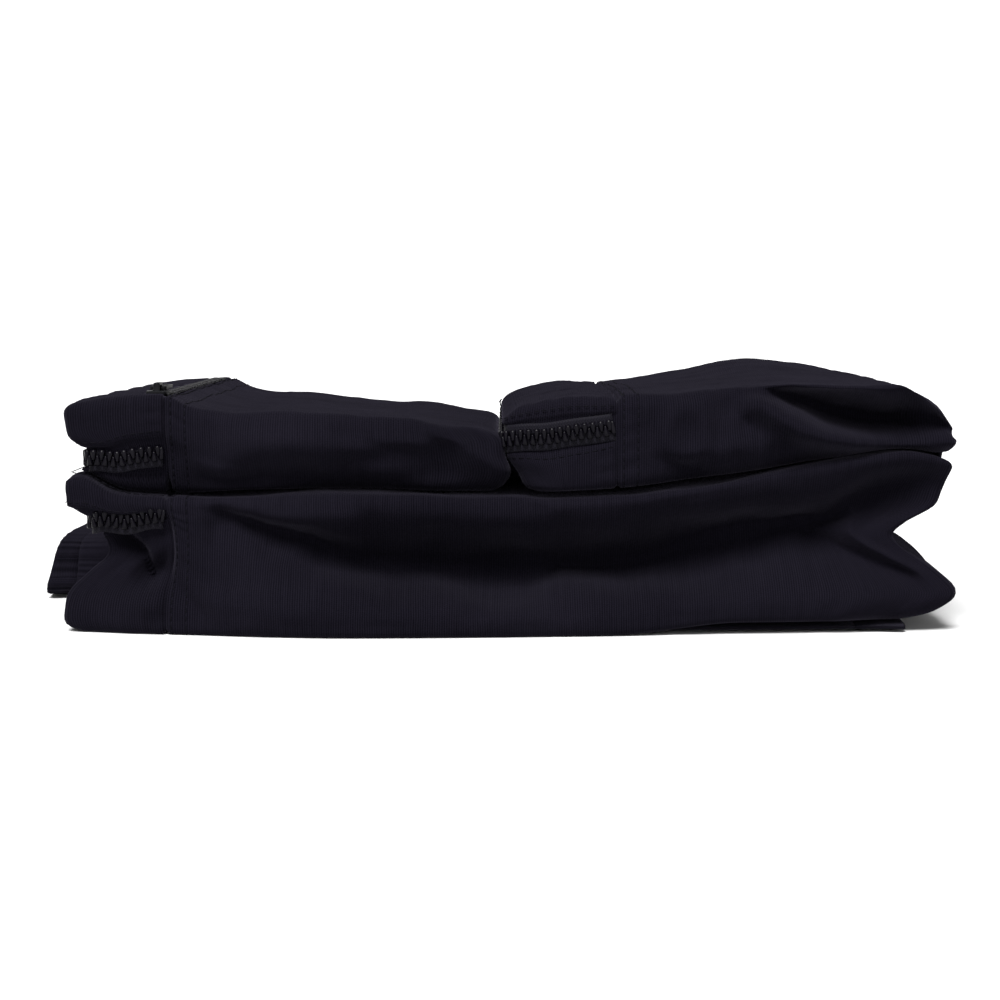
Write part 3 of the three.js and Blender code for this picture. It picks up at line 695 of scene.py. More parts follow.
class Val:
    """A socket that can be used in Python arithmetic. Each operation adds its Math node."""

    def __init__(self, tree, socket):
        self.tree, self.socket = tree, socket

    def math(self, operation, *others):
        return self.tree.node("ShaderNodeMath", {"operation": operation}, dict(enumerate((self, *others))))

    def __add__(self, other):
        return self.math("ADD", other)

    def __sub__(self, other):
        return self.math("SUBTRACT", other)

    def __mul__(self, other):
        return self.math("MULTIPLY", other)

    def sin(self):
        return self.math("SINE")

    def absolute(self):
        return self.math("ABSOLUTE")

    def clamped(self, low, high):
        return self.math("MAXIMUM", low).math("MINIMUM", high)


class Shader:
    """The node tree of a new material, or of a world. node() adds any node: its settings first, then the
    values or links of its sockets."""

    def __init__(self, name, world=None):
        self.material = world or bpy.data.materials.new(name)
        self.material.use_nodes = True
        self.nodes = self.material.node_tree.nodes
        self.links = self.material.node_tree.links
        self.surface = next(n for n in self.nodes if n.type in ("BSDF_PRINCIPLED", "BACKGROUND"))

    def put(self, socket, value):
        if isinstance(value, Val):
            self.links.new(value.socket, socket)
        else:
            socket.default_value = value

    def node(self, kind, settings, sockets, output=0):
        made = self.nodes.new(kind)
        for key, value in settings.items():
            setattr(made, key, value)
        for key, value in sockets.items():
            self.put(made.inputs[key], value)
        return Val(self, made.outputs[output])

    def set(self, **values):
        """Sets sockets of the surface shader by name, with _ for a space."""
        for key, value in values.items():
            self.put(self.surface.inputs[key.replace("_", " ")], value)

    def place(self):
        """A point's place in the object's own coordinates."""
        return self.node("ShaderNodeTexCoord", {}, {}, 3)

    def cloth_map(self):
        """A point's place on the piece's own UV map."""
        return self.node("ShaderNodeUVMap", {"uv_map": "cloth"}, {})

    def split(self, vector):
        return [self.node("ShaderNodeSeparateXYZ", {}, {0: vector}, k) for k in range(3)]

    def noise(self, vector, scale, detail=3.0, roughness=0.55):
        sockets = {"Vector": vector, "Scale": scale, "Detail": detail, "Roughness": roughness}
        return self.node("ShaderNodeTexNoise", {}, sockets)

    def mix(self, factor, first, second):
        """A mix of two colours, each given as red, green and blue."""
        sockets = {0: factor, 6: (*first, 1.0), 7: (*second, 1.0)}
        return self.node("ShaderNodeMix", {"data_type": "RGBA"}, sockets, 2)

    def bump(self, height, distance, strength, normal=None):
        sockets = {"Height": height, "Distance": distance, "Strength": strength}
        if normal is not None:
            sockets["Normal"] = normal
        return self.node("ShaderNodeBump", {}, sockets)


def turns_per_unit(pitch_mm):
    """Angle that a wave of a given pitch turns through over one unit of a UV map."""
    return 2 * math.pi / (pitch_mm * UV_PER_MM)


def ribbed_cloth(name, color, light, pitch_mm, roughness, sheen, rib_depth):
    """Ribbed twill: ribs across U, broken by threads along V, with dusty patches and fine fuzz."""
    shader = Shader(name)
    uv, place = shader.cloth_map(), shader.place()
    u, v, _ = shader.split(uv)
    turns = turns_per_unit(pitch_mm)
    waver = shader.noise(uv, 9.0, 2.0) * 1.3
    ribs = (u * turns + waver).sin() * 0.5 + 0.5
    threads = (v * (turns * 1.35) + (u * turns * 0.5).sin() * 1.6).sin() * 0.5 + 0.5
    fuzz = shader.noise(place, 900.0, 2.0)
    weave = ribs * 0.7 + threads * 0.3 + fuzz * 0.3
    patches = shader.noise(place, 14.0, 4.0)
    stretch = {0: uv, 1: (160.0, 5.0, 1.0)}
    stretched = shader.node("ShaderNodeVectorMath", {"operation": "MULTIPLY"}, stretch)
    slubs = shader.noise(stretched, 1.0)
    tone = (weave * 0.55 + patches * 0.5 + slubs * 0.35 - 0.4).clamped(0.0, 1.0)
    creases = shader.noise(place, 55.0, 4.0, 0.6)
    shader.set(
        Base_Color=shader.mix(tone, color, light),
        Roughness=((patches - 0.5) * 0.16 + roughness).clamped(0.2, 1.0),
        Sheen_Weight=sheen,
        Sheen_Roughness=0.4,
        Sheen_Tint=(0.8, 0.74, 1.0, 1.0),
        Specular_IOR_Level=0.0,
        Normal=shader.bump(weave, rib_depth, 0.9, shader.bump(creases, 0.0012, 0.35)),
    )
    return shader.material


def moulded(name, color, roughness, gloss):
    """Hard piece: fine grain in the finish, a few rubbed spots, and slightly uneven gloss."""
    shader = Shader(name)
    place = shader.place()
    fine = shader.noise(place, 1400.0, 2.0)
    broad = shader.noise(place, 120.0)
    rubbed = (broad * 2.2 - 0.9).clamped(0.0, 1.0)
    shader.set(
        Base_Color=shader.mix(rubbed * 0.5, color, [c * 2.4 + 0.0015 for c in color]),
        Roughness=((broad - 0.5) * 0.2 + roughness).clamped(0.08, 1.0),
        Specular_IOR_Level=gloss,
        Normal=shader.bump(fine, 0.00003, 0.6),
    )
    return shader.material


def woven_tape(name, color, pitch_mm):
    """Zip tape: a flat herringbone weave on the piece's own UV map."""
    shader = Shader(name)
    u, v, _ = shader.split(shader.cloth_map())
    turns = turns_per_unit(pitch_mm)
    zigzag = (v * (turns * 0.33)).sin().absolute() * 3.6
    weave = (u * turns + zigzag).sin() * 0.5 + 0.5
    worn = shader.noise(shader.place(), 90.0)
    tone = (weave * 0.5 + worn * 0.6 - 0.2).clamped(0.0, 1.0)
    shader.set(
        Base_Color=shader.mix(tone, color, [c * 2.8 for c in color]),
        Roughness=((worn - 0.5) * 0.2 + 0.6).clamped(0.2, 1.0),
        Sheen_Weight=0.03,
        Specular_IOR_Level=0.05,
        Normal=shader.bump(weave, 0.0001, 0.8),
    )
    return shader.material


# ------------------------------------------------------------------ pieces that follow the covers


def thick_grid(name, grid, thickness):
    """A sheet of cloth as a closed skin: a grid of points, its copy behind it, and a rim round both."""
    n, m = grid.shape[:2]
    normal = unit(np.cross(np.gradient(grid, axis=0), np.gradient(grid, axis=1)))
    points = np.concatenate([grid.reshape(-1, 3), (grid - normal * thickness).reshape(-1, 3)])
    index = np.arange(n * m).reshape(n, m)
    face = grid_quads(index)
    edges = [index[:, 0], index[::-1, -1], index[0, ::-1], index[-1]]
    rim = [np.stack([e[1:], e[:-1], e[:-1] + n * m, e[1:] + n * m], 1) for e in edges]
    made = new_object(name, points, np.concatenate([face, face[:, ::-1] + n * m, *rim]))
    steps = [np.linalg.norm(np.diff(grid, axis=k), axis=2).mean() for k in (0, 1)]
    uv = np.moveaxis(np.indices((n, m)), 0, -1).reshape(-1, 2) * steps
    put_uv(made.data, np.tile(uv, (2, 1))[corners_of(made.data)])
    return made


def resampled(points, step, *others):
    """A path and any other columns that go with it, at even steps of the path's own length."""
    length = np.concatenate([[0], np.cumsum(np.linalg.norm(np.diff(points, axis=0), axis=1))])
    count = int(length[-1] / step)
    at = (np.arange(count) + 0.5) * length[-1] / count
    return [
        np.stack([np.interp(at, length, column) for column in columns.T], 1) for columns in (points, *others)
    ]


class Track:
    """A zip's or a seam's line in space, with the direction out of the cloth along it."""

    def __init__(self, points, out):
        self.points, self.out = points, out

    def frames(self, step):
        """Points at even steps, with the directions along the line, across it and out of the cloth."""
        point, out = resampled(self.points, step, self.out)
        along = unit(np.gradient(point, axis=0))
        out = unit(out - (out * along).sum(1)[:, None] * along)
        return point, along, np.cross(out, along), out

    def ribbon(self, v0, v1, height, wave):
        """A strip between two distances across the line, at a height that waves a little."""
        step, rows = 1.5, 5
        point, _, across, out = self.frames(step)
        v = np.linspace(v0, v1, rows)
        lift = height + wave * np.sin(np.arange(len(point)) * step / 4.1)
        return (point + out * lift[:, None])[:, None] + across[:, None] * v[None, :, None]

    def copies(self, name, shape, step, phase=0.0, trim=0.0):
        """One object of copies of a small shape, its points as (along, across, out of the cloth) and its
        faces. A phase shifts them by a share of a step, and a trim leaves both ends free."""
        local, quads = shape
        finer = 8
        frames = self.frames(step / finer)
        length = len(frames[0])
        count = int((length / finer) - 2 * trim / step)
        index = ((np.arange(count) + 0.5 + phase) * finer + trim / step * finer).astype(int)
        index = index[index < length]
        point, *axes = (column[index][:, None] for column in frames)
        points = point + sum(axis * local[None, :, k : k + 1] for k, axis in enumerate(axes))
        faces = quads[None] + (np.arange(len(index)) * len(local))[:, None, None]
        return new_object(name, points.reshape(-1, 3), faces.reshape(-1, 4))


def mouth_track(fold, offset=0.0, surface=None):
    """The line of a mouth's zip, or one at a distance above it: from the seam along the front, round the
    left end and back to the seam at the rear. It lies on the plain surface or on the one that is given."""
    half_x, half_y = fold.size[0] / 2, fold.size[1] / 2
    rx, ry = fold.rounding[0], fold.rounding[1]
    before_seam = 0.8
    turn = np.linspace(0, math.pi / 2, 14)
    front_x = np.linspace(fold.seam - before_seam, -half_x + rx, 16)[:-1]
    left_y = np.linspace(-half_y + ry, half_y - ry, 90)[1:-1]
    corner = np.stack([-half_x + rx * (1 - np.sin(turn)), -half_y + ry * (1 - np.cos(turn))], 1)
    front = np.concatenate([np.column_stack([front_x, np.full_like(front_x, -half_y)]), corner])
    left = np.column_stack([np.full_like(left_y, -half_x), left_y])
    plan = np.concatenate([front, left, front[::-1] * (1, -1)])
    block = np.column_stack([plan, np.full(len(plan), fold.zip_z + offset)])
    points = (surface or fold.shape)(block)
    return Track(points, unit(np.cross([0, 0, 1.0], np.gradient(points, axis=0))))


def seam_track(fold, offset):
    """The line round a fold beside its cross seam: up the front, over the top and down the rear."""
    half_y, half_z = fold.size[1] / 2, fold.size[2] / 2
    ry, rz = fold.rounding[1], fold.rounding[2]
    arcs = [(-1, -1, -0.5, -1.0), (-1, 1, 1.0, 0.5), (1, 1, 0.5, 0.0), (1, -1, 0.0, -0.5)]
    rounds = []
    for side_y, side_z, first, last in arcs:
        turn = np.linspace(first * math.pi, last * math.pi, 8)
        y = side_y * (half_y - ry) + ry * np.cos(turn)
        z = side_z * (half_z - rz) + rz * np.sin(turn)
        rounds.append(np.stack([y, z], 1))
    (section,) = resampled(np.concatenate(rounds), 1.2)
    points = fold.surface(np.column_stack([np.full(len(section), fold.seam + offset), section]))
    return Track(points, unit(np.cross(np.gradient(points, axis=0), [-1.0, 0, 0])))


def top_track():
    """The line of the zip across the top of the left fold, from front to rear."""
    y = np.linspace(TOP_ZIP_LOW[1], TOP_ZIP_HIGH[1], 60)
    points = np.column_stack([np.full_like(y, TOP_ZIP_X), y, np.full_like(y, TOP_ZIP_Z)])
    return Track(points, np.tile([0, 0, 1.0], (len(y), 1)))


def tooth_shape():
    """One moulded tooth: a rounded wedge, wide at its foot and narrow where the rows meet."""
    length = 4.3
    halves = np.linspace(-1, 1, 3)
    cube, quads, _ = block_grid([halves, np.array([-1, -0.5, 0.1, 0.7, 1.0]), halves])
    local = round_block(cube, (2.0, length, 2.3), (0.45, 0.5, 0.7))
    towards_head = local[:, 1] / length + 0.5
    local[:, 0] *= 1.28 - 0.86 * towards_head
    local[:, 2] *= 1 - 0.18 * towards_head**2
    return local + (0, 0, 0.05), quads


def stitch_shape():
    """One stitch: a short thread that dips into the cloth at both ends."""
    length, thick = 2.3, 0.42
    halves = np.linspace(-1, 1, 3)
    cube, quads, _ = block_grid([np.linspace(-1, 1, 5), halves, halves])
    local = round_block(cube, (length, thick, thick), (thick * 0.8, thick / 2, thick / 2))
    local[:, 2] -= 0.28 * (local[:, 0] / length * 2) ** 2 * thick
    return local + (0, 0, 0.08), quads


# ------------------------------------------------------------------ the covers


def relaxed(values, quads, rounds):
    """Evens values out over a mesh: each goes half way to the mean of its neighbours, in rounds."""
    edges = np.concatenate([quads[:, [k, (k + 1) % 4]] for k in range(4)])
    pairs = np.concatenate([edges, edges[:, ::-1]])
    count = np.bincount(pairs[:, 0], minlength=len(values))[:, None]
    for _ in range(rounds):
        columns = [np.bincount(pairs[:, 0], column[pairs[:, 1]], len(values)) for column in values.T]
        values = 0.5 * values + 0.5 * np.stack(columns, 1) / count
    return values


def held(fold, block):
    """Where the simulation holds the cloth, from 0 to 1: mouth, underside, seams and what touches."""
    half_x, half_y, half_z = np.array(fold.size) / 2
    x, y, z = block.T
    holds = [1 - smooth((x - fold.seam - 5) / 14), 1 - smooth((z + half_z - 3) / 5)]
    if fold is BASE:
        holds.append(smooth((z - half_z + 8) / 5))
        hinge = smooth((z - half_z * 0.2) / 6)
    else:
        holds.append(0.55 * smooth((z - half_z + 3) / 3))
        hinge = 1 - smooth((z + half_z * 0.1) / 8)
    holds.append(hinge * smooth((y - half_y + 12) / 8))
    if fold is LEFT_FOLD:
        holds.append(smooth((x - half_x + 8) / 6))
    else:
        holds.append(hinge * smooth((x - half_x + 10) / 8))
    return np.max(holds, axis=0)


def crumpled_shift(fold, levels, slack, cap):
    """How far the simulated slack cloth moves from the fold's shape, for a coarse grid, in mm."""
    places, quads, sides = block_grid(levels)
    block = round_block(places, fold.size, fold.rounding)
    start = fold.shape(block)
    if slack <= 0:
        return np.zeros_like(start), sides
    trial = new_object(f"{fold.name}_trial", start, quads)
    keep = held(fold, block)
    crumple(trial, keep, slack, cap)
    shift = relaxed(points_of(trial) - start, quads, 2) * (1 - keep[:, None])
    mesh = trial.data
    bpy.data.objects.remove(trial)
    bpy.data.meshes.remove(mesh)
    return shift, sides


def cover(fold, name, slack, cap):
    """One fold's cloth: a rounded block, shaped, with the simulated slack carried to its fine grid."""
    coarse = even_levels(fold.size, CLOTH_STEP)
    shift, coarse_sides = crumpled_shift(fold, coarse, slack, cap)
    levels = fold.levels()
    places, quads, sides = block_grid(levels)
    block = round_block(places, fold.size, fold.rounding)
    points = fold.surface(block) + carried(shift, (coarse, coarse_sides), (levels, sides))
    made = new_object(name, points, quads)
    cloth_uv(made, block, fold.size)
    return made


# ------------------------------------------------------------------ sleeves and hinge webs


def tube(name, stations):
    """A closed tube through stations, each a function of the angle that gives its ring of points; poles
    close both ends, and U runs round the tube, V along it."""
    around = 220
    angle = np.linspace(0, 2 * math.pi, around, endpoint=False)
    rings = np.stack([station(angle) for station in stations])
    n = len(rings)
    poles = np.stack([rings[0].mean(0), rings[-1].mean(0)])
    points = np.concatenate([rings.reshape(-1, 3), poles])
    index = np.arange(n * around).reshape(n, around)
    after = np.roll(index, -1, axis=1)
    quads = np.stack([index[:-1], after[:-1], after[1:], index[1:]], -1).reshape(-1, 4)
    start = np.stack([np.full(around, n * around), after[0], index[0]], 1)
    end = np.stack([np.full(around, n * around + 1), index[-1], after[-1]], 1)
    made = new_object(name, points, [*quads.tolist(), *start.tolist(), *end.tolist()])
    length = np.concatenate([[0], np.cumsum(np.linalg.norm(np.diff(rings, axis=0), axis=2).mean(1))])
    girth = np.linalg.norm(np.diff(rings, axis=1), axis=2).sum(1).max()
    uv = np.column_stack([np.tile(angle / (2 * math.pi) * girth, n), np.repeat(length, around)])
    put_uv(made.data, np.concatenate([uv, uv[:1], uv[-1:]])[corners_of(made.data)])
    return made


def flat_ring(x, centre_y, low_z, width, height, gather, lean, power):
    """A station of a flattened sleeve: a superellipse in y and z, its radius rippled where the cloth is
    gathered, and its upper side further along x by the lean."""

    def ring(angle):
        c, s = np.cos(angle), np.sin(angle)
        y = np.sign(c) * np.abs(c) ** power * width / 2
        z = np.sign(s) * np.abs(s) ** power * height / 2
        ripple = gather * (np.sin(angle * 23 + 1.0) + 0.5 * np.sin(angle * 13 + 2.0))
        grown = 1 + ripple / (np.hypot(y, z) + 1e-6)
        y, z = y * grown, z * grown
        up = np.clip(z / height + 0.5, 0, 1)
        return np.stack([x + lean * up, centre_y + y, low_z + height / 2 + z], 1)

    return ring


def hinge_web(name, line, across, count):
    """A strip of cloth that closes the crease between two folds: a smooth line up from the lower one's side
    to the upper one's, carried along the crease. Points of the line are (out, z), and across places them at
    shares of the crease's length. Also gives its flat size in metres."""
    line = np.array(line, float)
    t = np.linspace(0, len(line) - 1, 22)
    out, z = (spline(t, list(enumerate(column))) for column in line.T)
    grid = across(*np.broadcast_arrays(np.linspace(0, 1, count)[:, None], out, z))
    flat = [np.linalg.norm(np.diff(grid, axis=k), axis=2).sum(k).mean() * MM for k in (1, 0)]
    return thick_grid(name, grid, WEB_THICKNESS), flat


# ------------------------------------------------------------------ hard pieces


def softened_copy(node, name, width):
    """A copy of a CAD node's mesh with its doubles merged, its flat faces joined and its edges rounded."""
    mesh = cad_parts[node].data.copy()
    mesh.materials.clear()
    work = bmesh.new()
    work.from_mesh(mesh)
    bmesh.ops.remove_doubles(work, verts=work.verts, dist=1e-6)
    bmesh.ops.dissolve_limit(work, angle_limit=0.02, verts=work.verts, edges=work.edges)
    work.to_mesh(mesh)
    work.free()
    made = bpy.data.objects.new(name, mesh)
    bpy.context.scene.collection.objects.link(made)
    bevel = made.modifiers.new("bevel", "BEVEL")
    bevel.width = width * MM
    bevel.segments = 2
    bevel.limit_method = "ANGLE"
    bevel.angle_limit = math.radians(30)
    bevel.use_clamp_overlap = True
    apply_modifiers(made)
    made.data.set_sharp_from_angle(angle=math.radians(38))
    return made


def dress(obj, material, body, slot, *nodes):
    """Gives a piece its material and its body, and hides the CAD nodes that it stands for; slot is not used.
    """
    obj.data.materials.clear()
    obj.data.materials.append(material)
    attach(obj, body)
    if nodes:
        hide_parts(*nodes)
    return obj


# ------------------------------------------------------------------ what a user can change


def color_property(name, description, default):
    """A colour that a user can change."""
    return bpy.props.FloatVectorProperty(
        name=name, description=description, subtype="COLOR", size=3, min=0, max=1, default=default
    )


def length_property(name, description, default):
    """A length that a user can change; its default is given in millimetres."""
    return bpy.props.FloatProperty(
        name=name, description=description, default=default * MM, min=0, unit="LENGTH", subtype="DISTANCE"
    )


class ChangingBagCloth(bpy.types.PropertyGroup):
    """The cloth of the bag."""

    color: color_property("Cloth colour", "Colour in the grooves of the twill", (0.0011, 0.0010, 0.0017))
    light: color_property("Cloth highlight", "Colour on the ribs and where rubbed", (0.0082, 0.0073, 0.0115))
    rib_pitch: length_property("Rib pitch", "Distance from one rib of the twill to the next", 0.9)
    slack: bpy.props.FloatProperty(
        name="Slack", description="How much larger than its shape the cloth is", default=0.05, min=0, max=0.2
    )
    crumple_limit: length_property("Crumple limit", "How far a crumple may stand from the plain shape", 4.0)
    thread: color_property("Thread colour", "Colour of the stitches", (0.0022, 0.002, 0.0032))
    stitch_pitch: length_property("Stitch pitch", "Distance from one stitch to the next", 3.2)


class ChangingBagZips(bpy.types.PropertyGroup):
    """The zips of the bag."""

    tape: color_property("Tape colour", "Colour of the woven tape", (0.0022, 0.0019, 0.0034))
    tooth: color_property("Tooth colour", "Colour of the moulded teeth", (0.0014, 0.0011, 0.0022))
    slider: color_property("Slider colour", "Colour of the sliders and pulls", (0.0035, 0.0035, 0.0042))
    tooth_pitch: length_property("Tooth pitch", "Distance from one tooth to the next on the same side", 3.1)


class ChangingBagStudio(bpy.types.PropertyGroup):
    """The studio round the bag."""

    floor: color_property("Floor colour", "Colour of the table", (0.62, 0.62, 0.62))
    key_power: bpy.props.FloatProperty(
        name="Key light", description="Strength of the broad light from above the front", default=8.0, min=0
    )
    sky: bpy.props.FloatProperty(
        name="Surrounding light", description="Strength of the even light all round", default=1.2, min=0
    )
    distance: length_property("Camera distance", "Distance from the camera to the front of the bag", 900)
    height: length_property("Camera height", "Height of the camera above the table", 127)
    view_width: length_property("View width", "Width that the camera takes in at the front of the bag", 378)


def cloth_settings():
    """The sizes and colours of the cloth."""
    return bpy.context.scene.changing_bag_cloth


def zip_settings():
    """The sizes and colours of the zips."""
    return bpy.context.scene.changing_bag_zips


MATERIALS = {}


def material(name):
    """The bag's materials, each made when it is first asked for."""
    if name not in MATERIALS:
        cloth, parts = cloth_settings(), zip_settings()
        pitch = cloth.rib_pitch / MM
        colors = (cloth.color, cloth.light)
        makers = {
            "twill": lambda: ribbed_cloth("black twill", *colors, pitch, 0.8, 0.035, 0.00009),
            "cuff": lambda: ribbed_cloth("ribbed cuff", *colors, pitch * 1.6, 0.9, 0.03, 0.0002),
            "thread": lambda: moulded("sewing thread", cloth.thread, 0.8, 0.03),
            "tape": lambda: woven_tape("zip tape", parts.tape, 1.1),
            "teeth": lambda: moulded("moulded teeth", parts.tooth, 0.27, 0.07),
            "slider": lambda: moulded("painted zinc", parts.slider, 0.4, 0.03),
        }
        MATERIALS[name] = makers[name]()
    return MATERIALS[name]


# ------------------------------------------------------------------ operators


MOUTH_SIDES = (("top", -1), ("bottom", 1))
TOP_SIDES = (("left", -1), ("right", 1))


def zips():
    """The four zips: start of the CAD names, start of the pieces' names, body, line and sides."""
    for fold in FOLDS:
        yield f"{fold.prefix}_zip", fold.prefix, fold.name, mouth_track(fold), MOUTH_SIDES
    yield "top_zip", "across", "left_fold", top_track(), TOP_SIDES


class BAG_OT_covers(bpy.types.Operator):
    """The cloth of the three folds, crumpled by a cloth simulation."""

    bl_idname = "changing_bag.covers"
    bl_label = "Covers"

    def execute(self, context):
        cloth = cloth_settings()
        for fold in FOLDS:
            made = cover(fold, f"{fold.name}_cover", cloth.slack, cloth.crumple_limit / MM)
            inside = ("shell", "mouth_top", "mouth_bottom", "seam_binding", "inner_bag", "inner_zip")
            nodes = [f"{fold.prefix}_{part}" for part in inside]
            if fold is BASE:
                nodes += ["lower_fold_shell", "lower_fold_inner_bag"]
            dress(made, material("twill"), fold.name, "cloth", *nodes)
        return {"FINISHED"}


class BAG_OT_tapes(bpy.types.Operator):
    """The woven tapes of the four zips."""

    bl_idname = "changing_bag.tapes"
    bl_label = "Zip tapes"

    def execute(self, context):
        sunk = TAPE_THICKNESS - BAND_DEPTH
        for node, start, body, track, sides in zips():
            band, wave = (TOP_BAND, 0.08) if node == "top_zip" else (BAND, 0.12)
            for side, sign in sides:
                edges = sorted((sign * TAPE_SLOT, sign * band / 2))
                made = thick_grid(f"{start}_tape_{side}", track.ribbon(*edges, sunk, wave), TAPE_THICKNESS)
                dress(made, material("tape"), body, "tape", f"{node}_tape_{side}")
        return {"FINISHED"}


class BAG_OT_teeth(bpy.types.Operator):
    """The moulded teeth of the four zips, two rows to a zip, each row half a pitch from the other."""

    bl_idname = "changing_bag.teeth"
    bl_label = "Zip teeth"

    def execute(self, context):
        pitch = zip_settings().tooth_pitch / MM
        local, quads = tooth_shape()
        rows = {1: (local * (1, -1, 1) + (0, 1.0, 0), quads[:, ::-1]), -1: (local + (0, -1.0, 0), quads)}
        for node, start, body, track, sides in zips():
            trim = 4.0 if node == "top_zip" else 1.6
            for side, sign in sides:
                made = track.copies(f"{start}_teeth_{side}", rows[sign], pitch, 0.25 * sign, trim)
                dress(made, material("teeth"), body, "teeth", f"{node}_teeth_{side}")
        return {"FINISHED"}


def end_stop(name, track, end):
    """A moulded bar clamped across both tapes at one end of a zip's line."""
    cube, quads, _ = block_grid([np.linspace(-1, 1, 5), np.linspace(-1, 1, 9), np.linspace(-1, 1, 5)])
    local = round_block(cube, (1.7, 5.2, 2.0), (0.6, 0.7, 0.7))
    local[:, 2] -= 0.12 * np.abs(local[:, 1])
    point, *axes = (column[end] for column in track.frames(0.8))
    return new_object(name, point + local @ np.array(axes), quads)


class BAG_OT_zip_fittings(bpy.types.Operator):
    """The end stops, sliders and pulls of the four zips."""

    bl_idname = "changing_bag.zip_fittings"
    bl_label = "Zip stops, sliders and pulls"

    def execute(self, context):
        for prefix, _, body, track, _ in zips():
            for side, end in (("front", 1), ("rear", -2)):
                node = f"{prefix}_stop_{side}"
                dress(end_stop(f"{node}_bar", track, end), material("teeth"), body, "teeth", node)
            for part, width in (("slider", 0.35), ("pull", 0.3)):
                node = f"{prefix}_{part}"
                dress(softened_copy(node, f"{node}_cast", width), material("slider"), node, "slider", node)
        return {"FINISHED"}


class BAG_OT_stitches(bpy.types.Operator):
    """The top-stitching beside the cross seams and along the zips."""

    bl_idname = "changing_bag.stitches"
    bl_label = "Stitches"

    def execute(self, context):
        pitch = cloth_settings().stitch_pitch / MM
        stitch = stitch_shape()
        from_band = BAND / 2 + 1.7
        for fold in FOLDS:
            lines = {
                "seam_stitches_1": seam_track(fold, 2.2),
                "seam_stitches_2": seam_track(fold, 7.6),
                "zip_stitches_top": mouth_track(fold, from_band, fold.surface),
                "zip_stitches_bottom": mouth_track(fold, -from_band, fold.surface),
            }
            for name, track in lines.items():
                made = track.copies(f"{fold.prefix}_{name}", stitch, pitch)
                dress(made, material("thread"), fold.name, "cloth")
        return {"FINISHED"}


# A sleeve's hem, from its neck out to its end and back inside: the place along it as a share of its depth
# and millimetres, from the neck or from the end, then its width and height as shares of the sleeve's, and
# of the gather.
HEM = (
    ("neck", 0.0, 0.0, 0.93, 0.93, 1.0),
    ("neck", 0.1, 0.0, 0.955, 0.955, 1.0),
    ("neck", 0.4, 0.0, 0.95, 0.96, 0.9),
    ("neck", 0.75, 0.0, 0.965, 0.97, 0.9),
    ("end", 0.0, -0.8, 0.97, 0.975, 0.9),
    ("end", 0.0, 0.0, 0.95, 0.93, 0.8),
    ("end", 0.0, -0.9, 0.92, 0.80, 0.7),
    ("end", -0.5, 0.0, 0.88, 0.62, 0.5),
    ("end", -0.8, 0.0, 0.85, 0.35, 0.2),
)


class BAG_OT_sleeves(bpy.types.Operator):
    """The two sleeves with their gathered cuffs and elastics."""

    bl_idname = "changing_bag.sleeves"
    bl_label = "Sleeves"

    def execute(self, context):
        for side, direction, gather, slant, square, fill in (
            ("left", -1, 0.5, 7.0, 0.36, 0.25),
            ("right", 1, 0.18, 0.0, 0.6, 0.05),
        ):
            low, high = node_mm(f"{side}_sleeve")
            cuff_low, cuff_high = node_mm(f"{side}_sleeve_cuff")
            inner, outer = (high[0], low[0]) if direction < 0 else (low[0], high[0])
            end = cuff_low[0] - 2 if direction < 0 else cuff_high[0]
            middle, width, height = (low[1] + high[1]) / 2, high[1] - low[1] + 8, high[2] - low[2]

            def station(x, wide, tall, ripple):
                raised = low[2] + (1 - tall) * height * 0.45
                lean = slant * (abs(x - inner) / abs(end - inner)) ** 3
                return flat_ring(x, middle, raised, width * wide, height * tall, ripple, lean, square)

            shares = np.linspace(0, 1, 16)
            puff = 1 - 0.05 * shares**2
            along = inner + (outer - inner) * shares
            body = [station(x, p, p, gather * share**2) for x, p, share in zip(along, puff, shares)]
            sleeve = tube(f"{side}_sleeve_cloth", body)
            depth = abs(end - outer)
            origins = {"neck": outer - direction * 0.6, "end": end}
            hem = tube(f"{side}_sleeve_hem", [
                station(origins[origin] + direction * (share * depth + extra), wide, tall, gather * ripple)
                for origin, share, extra, wide, tall, ripple in HEM
            ])
            if direction > 0:
                sleeve.data.flip_normals()
                hem.data.flip_normals()
            dress(sleeve, material("twill"), "base", "cloth", f"{side}_sleeve")
            dress(hem, material("cuff"), "base", "elastic", f"{side}_sleeve_cuff", f"{side}_sleeve_elastic")
        return {"FINISHED"}


class BAG_OT_hinge_webs(bpy.types.Operator):
    """The strips of cloth that close the creases where the two upper folds turn back."""

    bl_idname = "changing_bag.hinge_webs"
    bl_label = "Hinge webs"

    def execute(self, context):
        rear_low, rear_high = node_mm("rear_hinge_web")
        right_low, right_high = node_mm("right_hinge_web")

        def behind(share, out, z):
            x = rear_low[0] + (rear_high[0] - rear_low[0]) * share
            ripple = 0.25 * np.sin(x / 3.1 + z / 7) - 2.0 * smooth((np.abs(2 * share - 1) - 0.8) / 0.2)
            return np.stack([x, REAR + out + ripple, z], -1)

        def beside(share, out, z):
            y = right_high[1] - (right_high[1] - right_low[1]) * share
            ripple = 0.25 * np.sin(y / 3.3 + z / 6) - 3.0 * smooth((np.abs(2 * share - 1) - 0.85) / 0.15)
            return np.stack([RIGHT + out + ripple, y, z], -1)

        rear_line = [(-0.6, 42), (0.5, 46), (1.0, 51), (1.4, 55.5), (1.1, 60), (0.6, 66), (-0.6, 72)]
        web, flat = hinge_web("rear_web", rear_line, behind, 70)
        dress_web(web, flat, "rear_hinge_web")
        right_line = [(-3.4, 56), (-1.2, 61), (0.1, 66), (0.9, 70.5), (1.0, 75), (-0.4, 79), (-3.0, 84)]
        web, flat = hinge_web("right_web", right_line, beside, 130)
        dress_web(web, flat, "right_hinge_web")
        return {"FINISHED"}


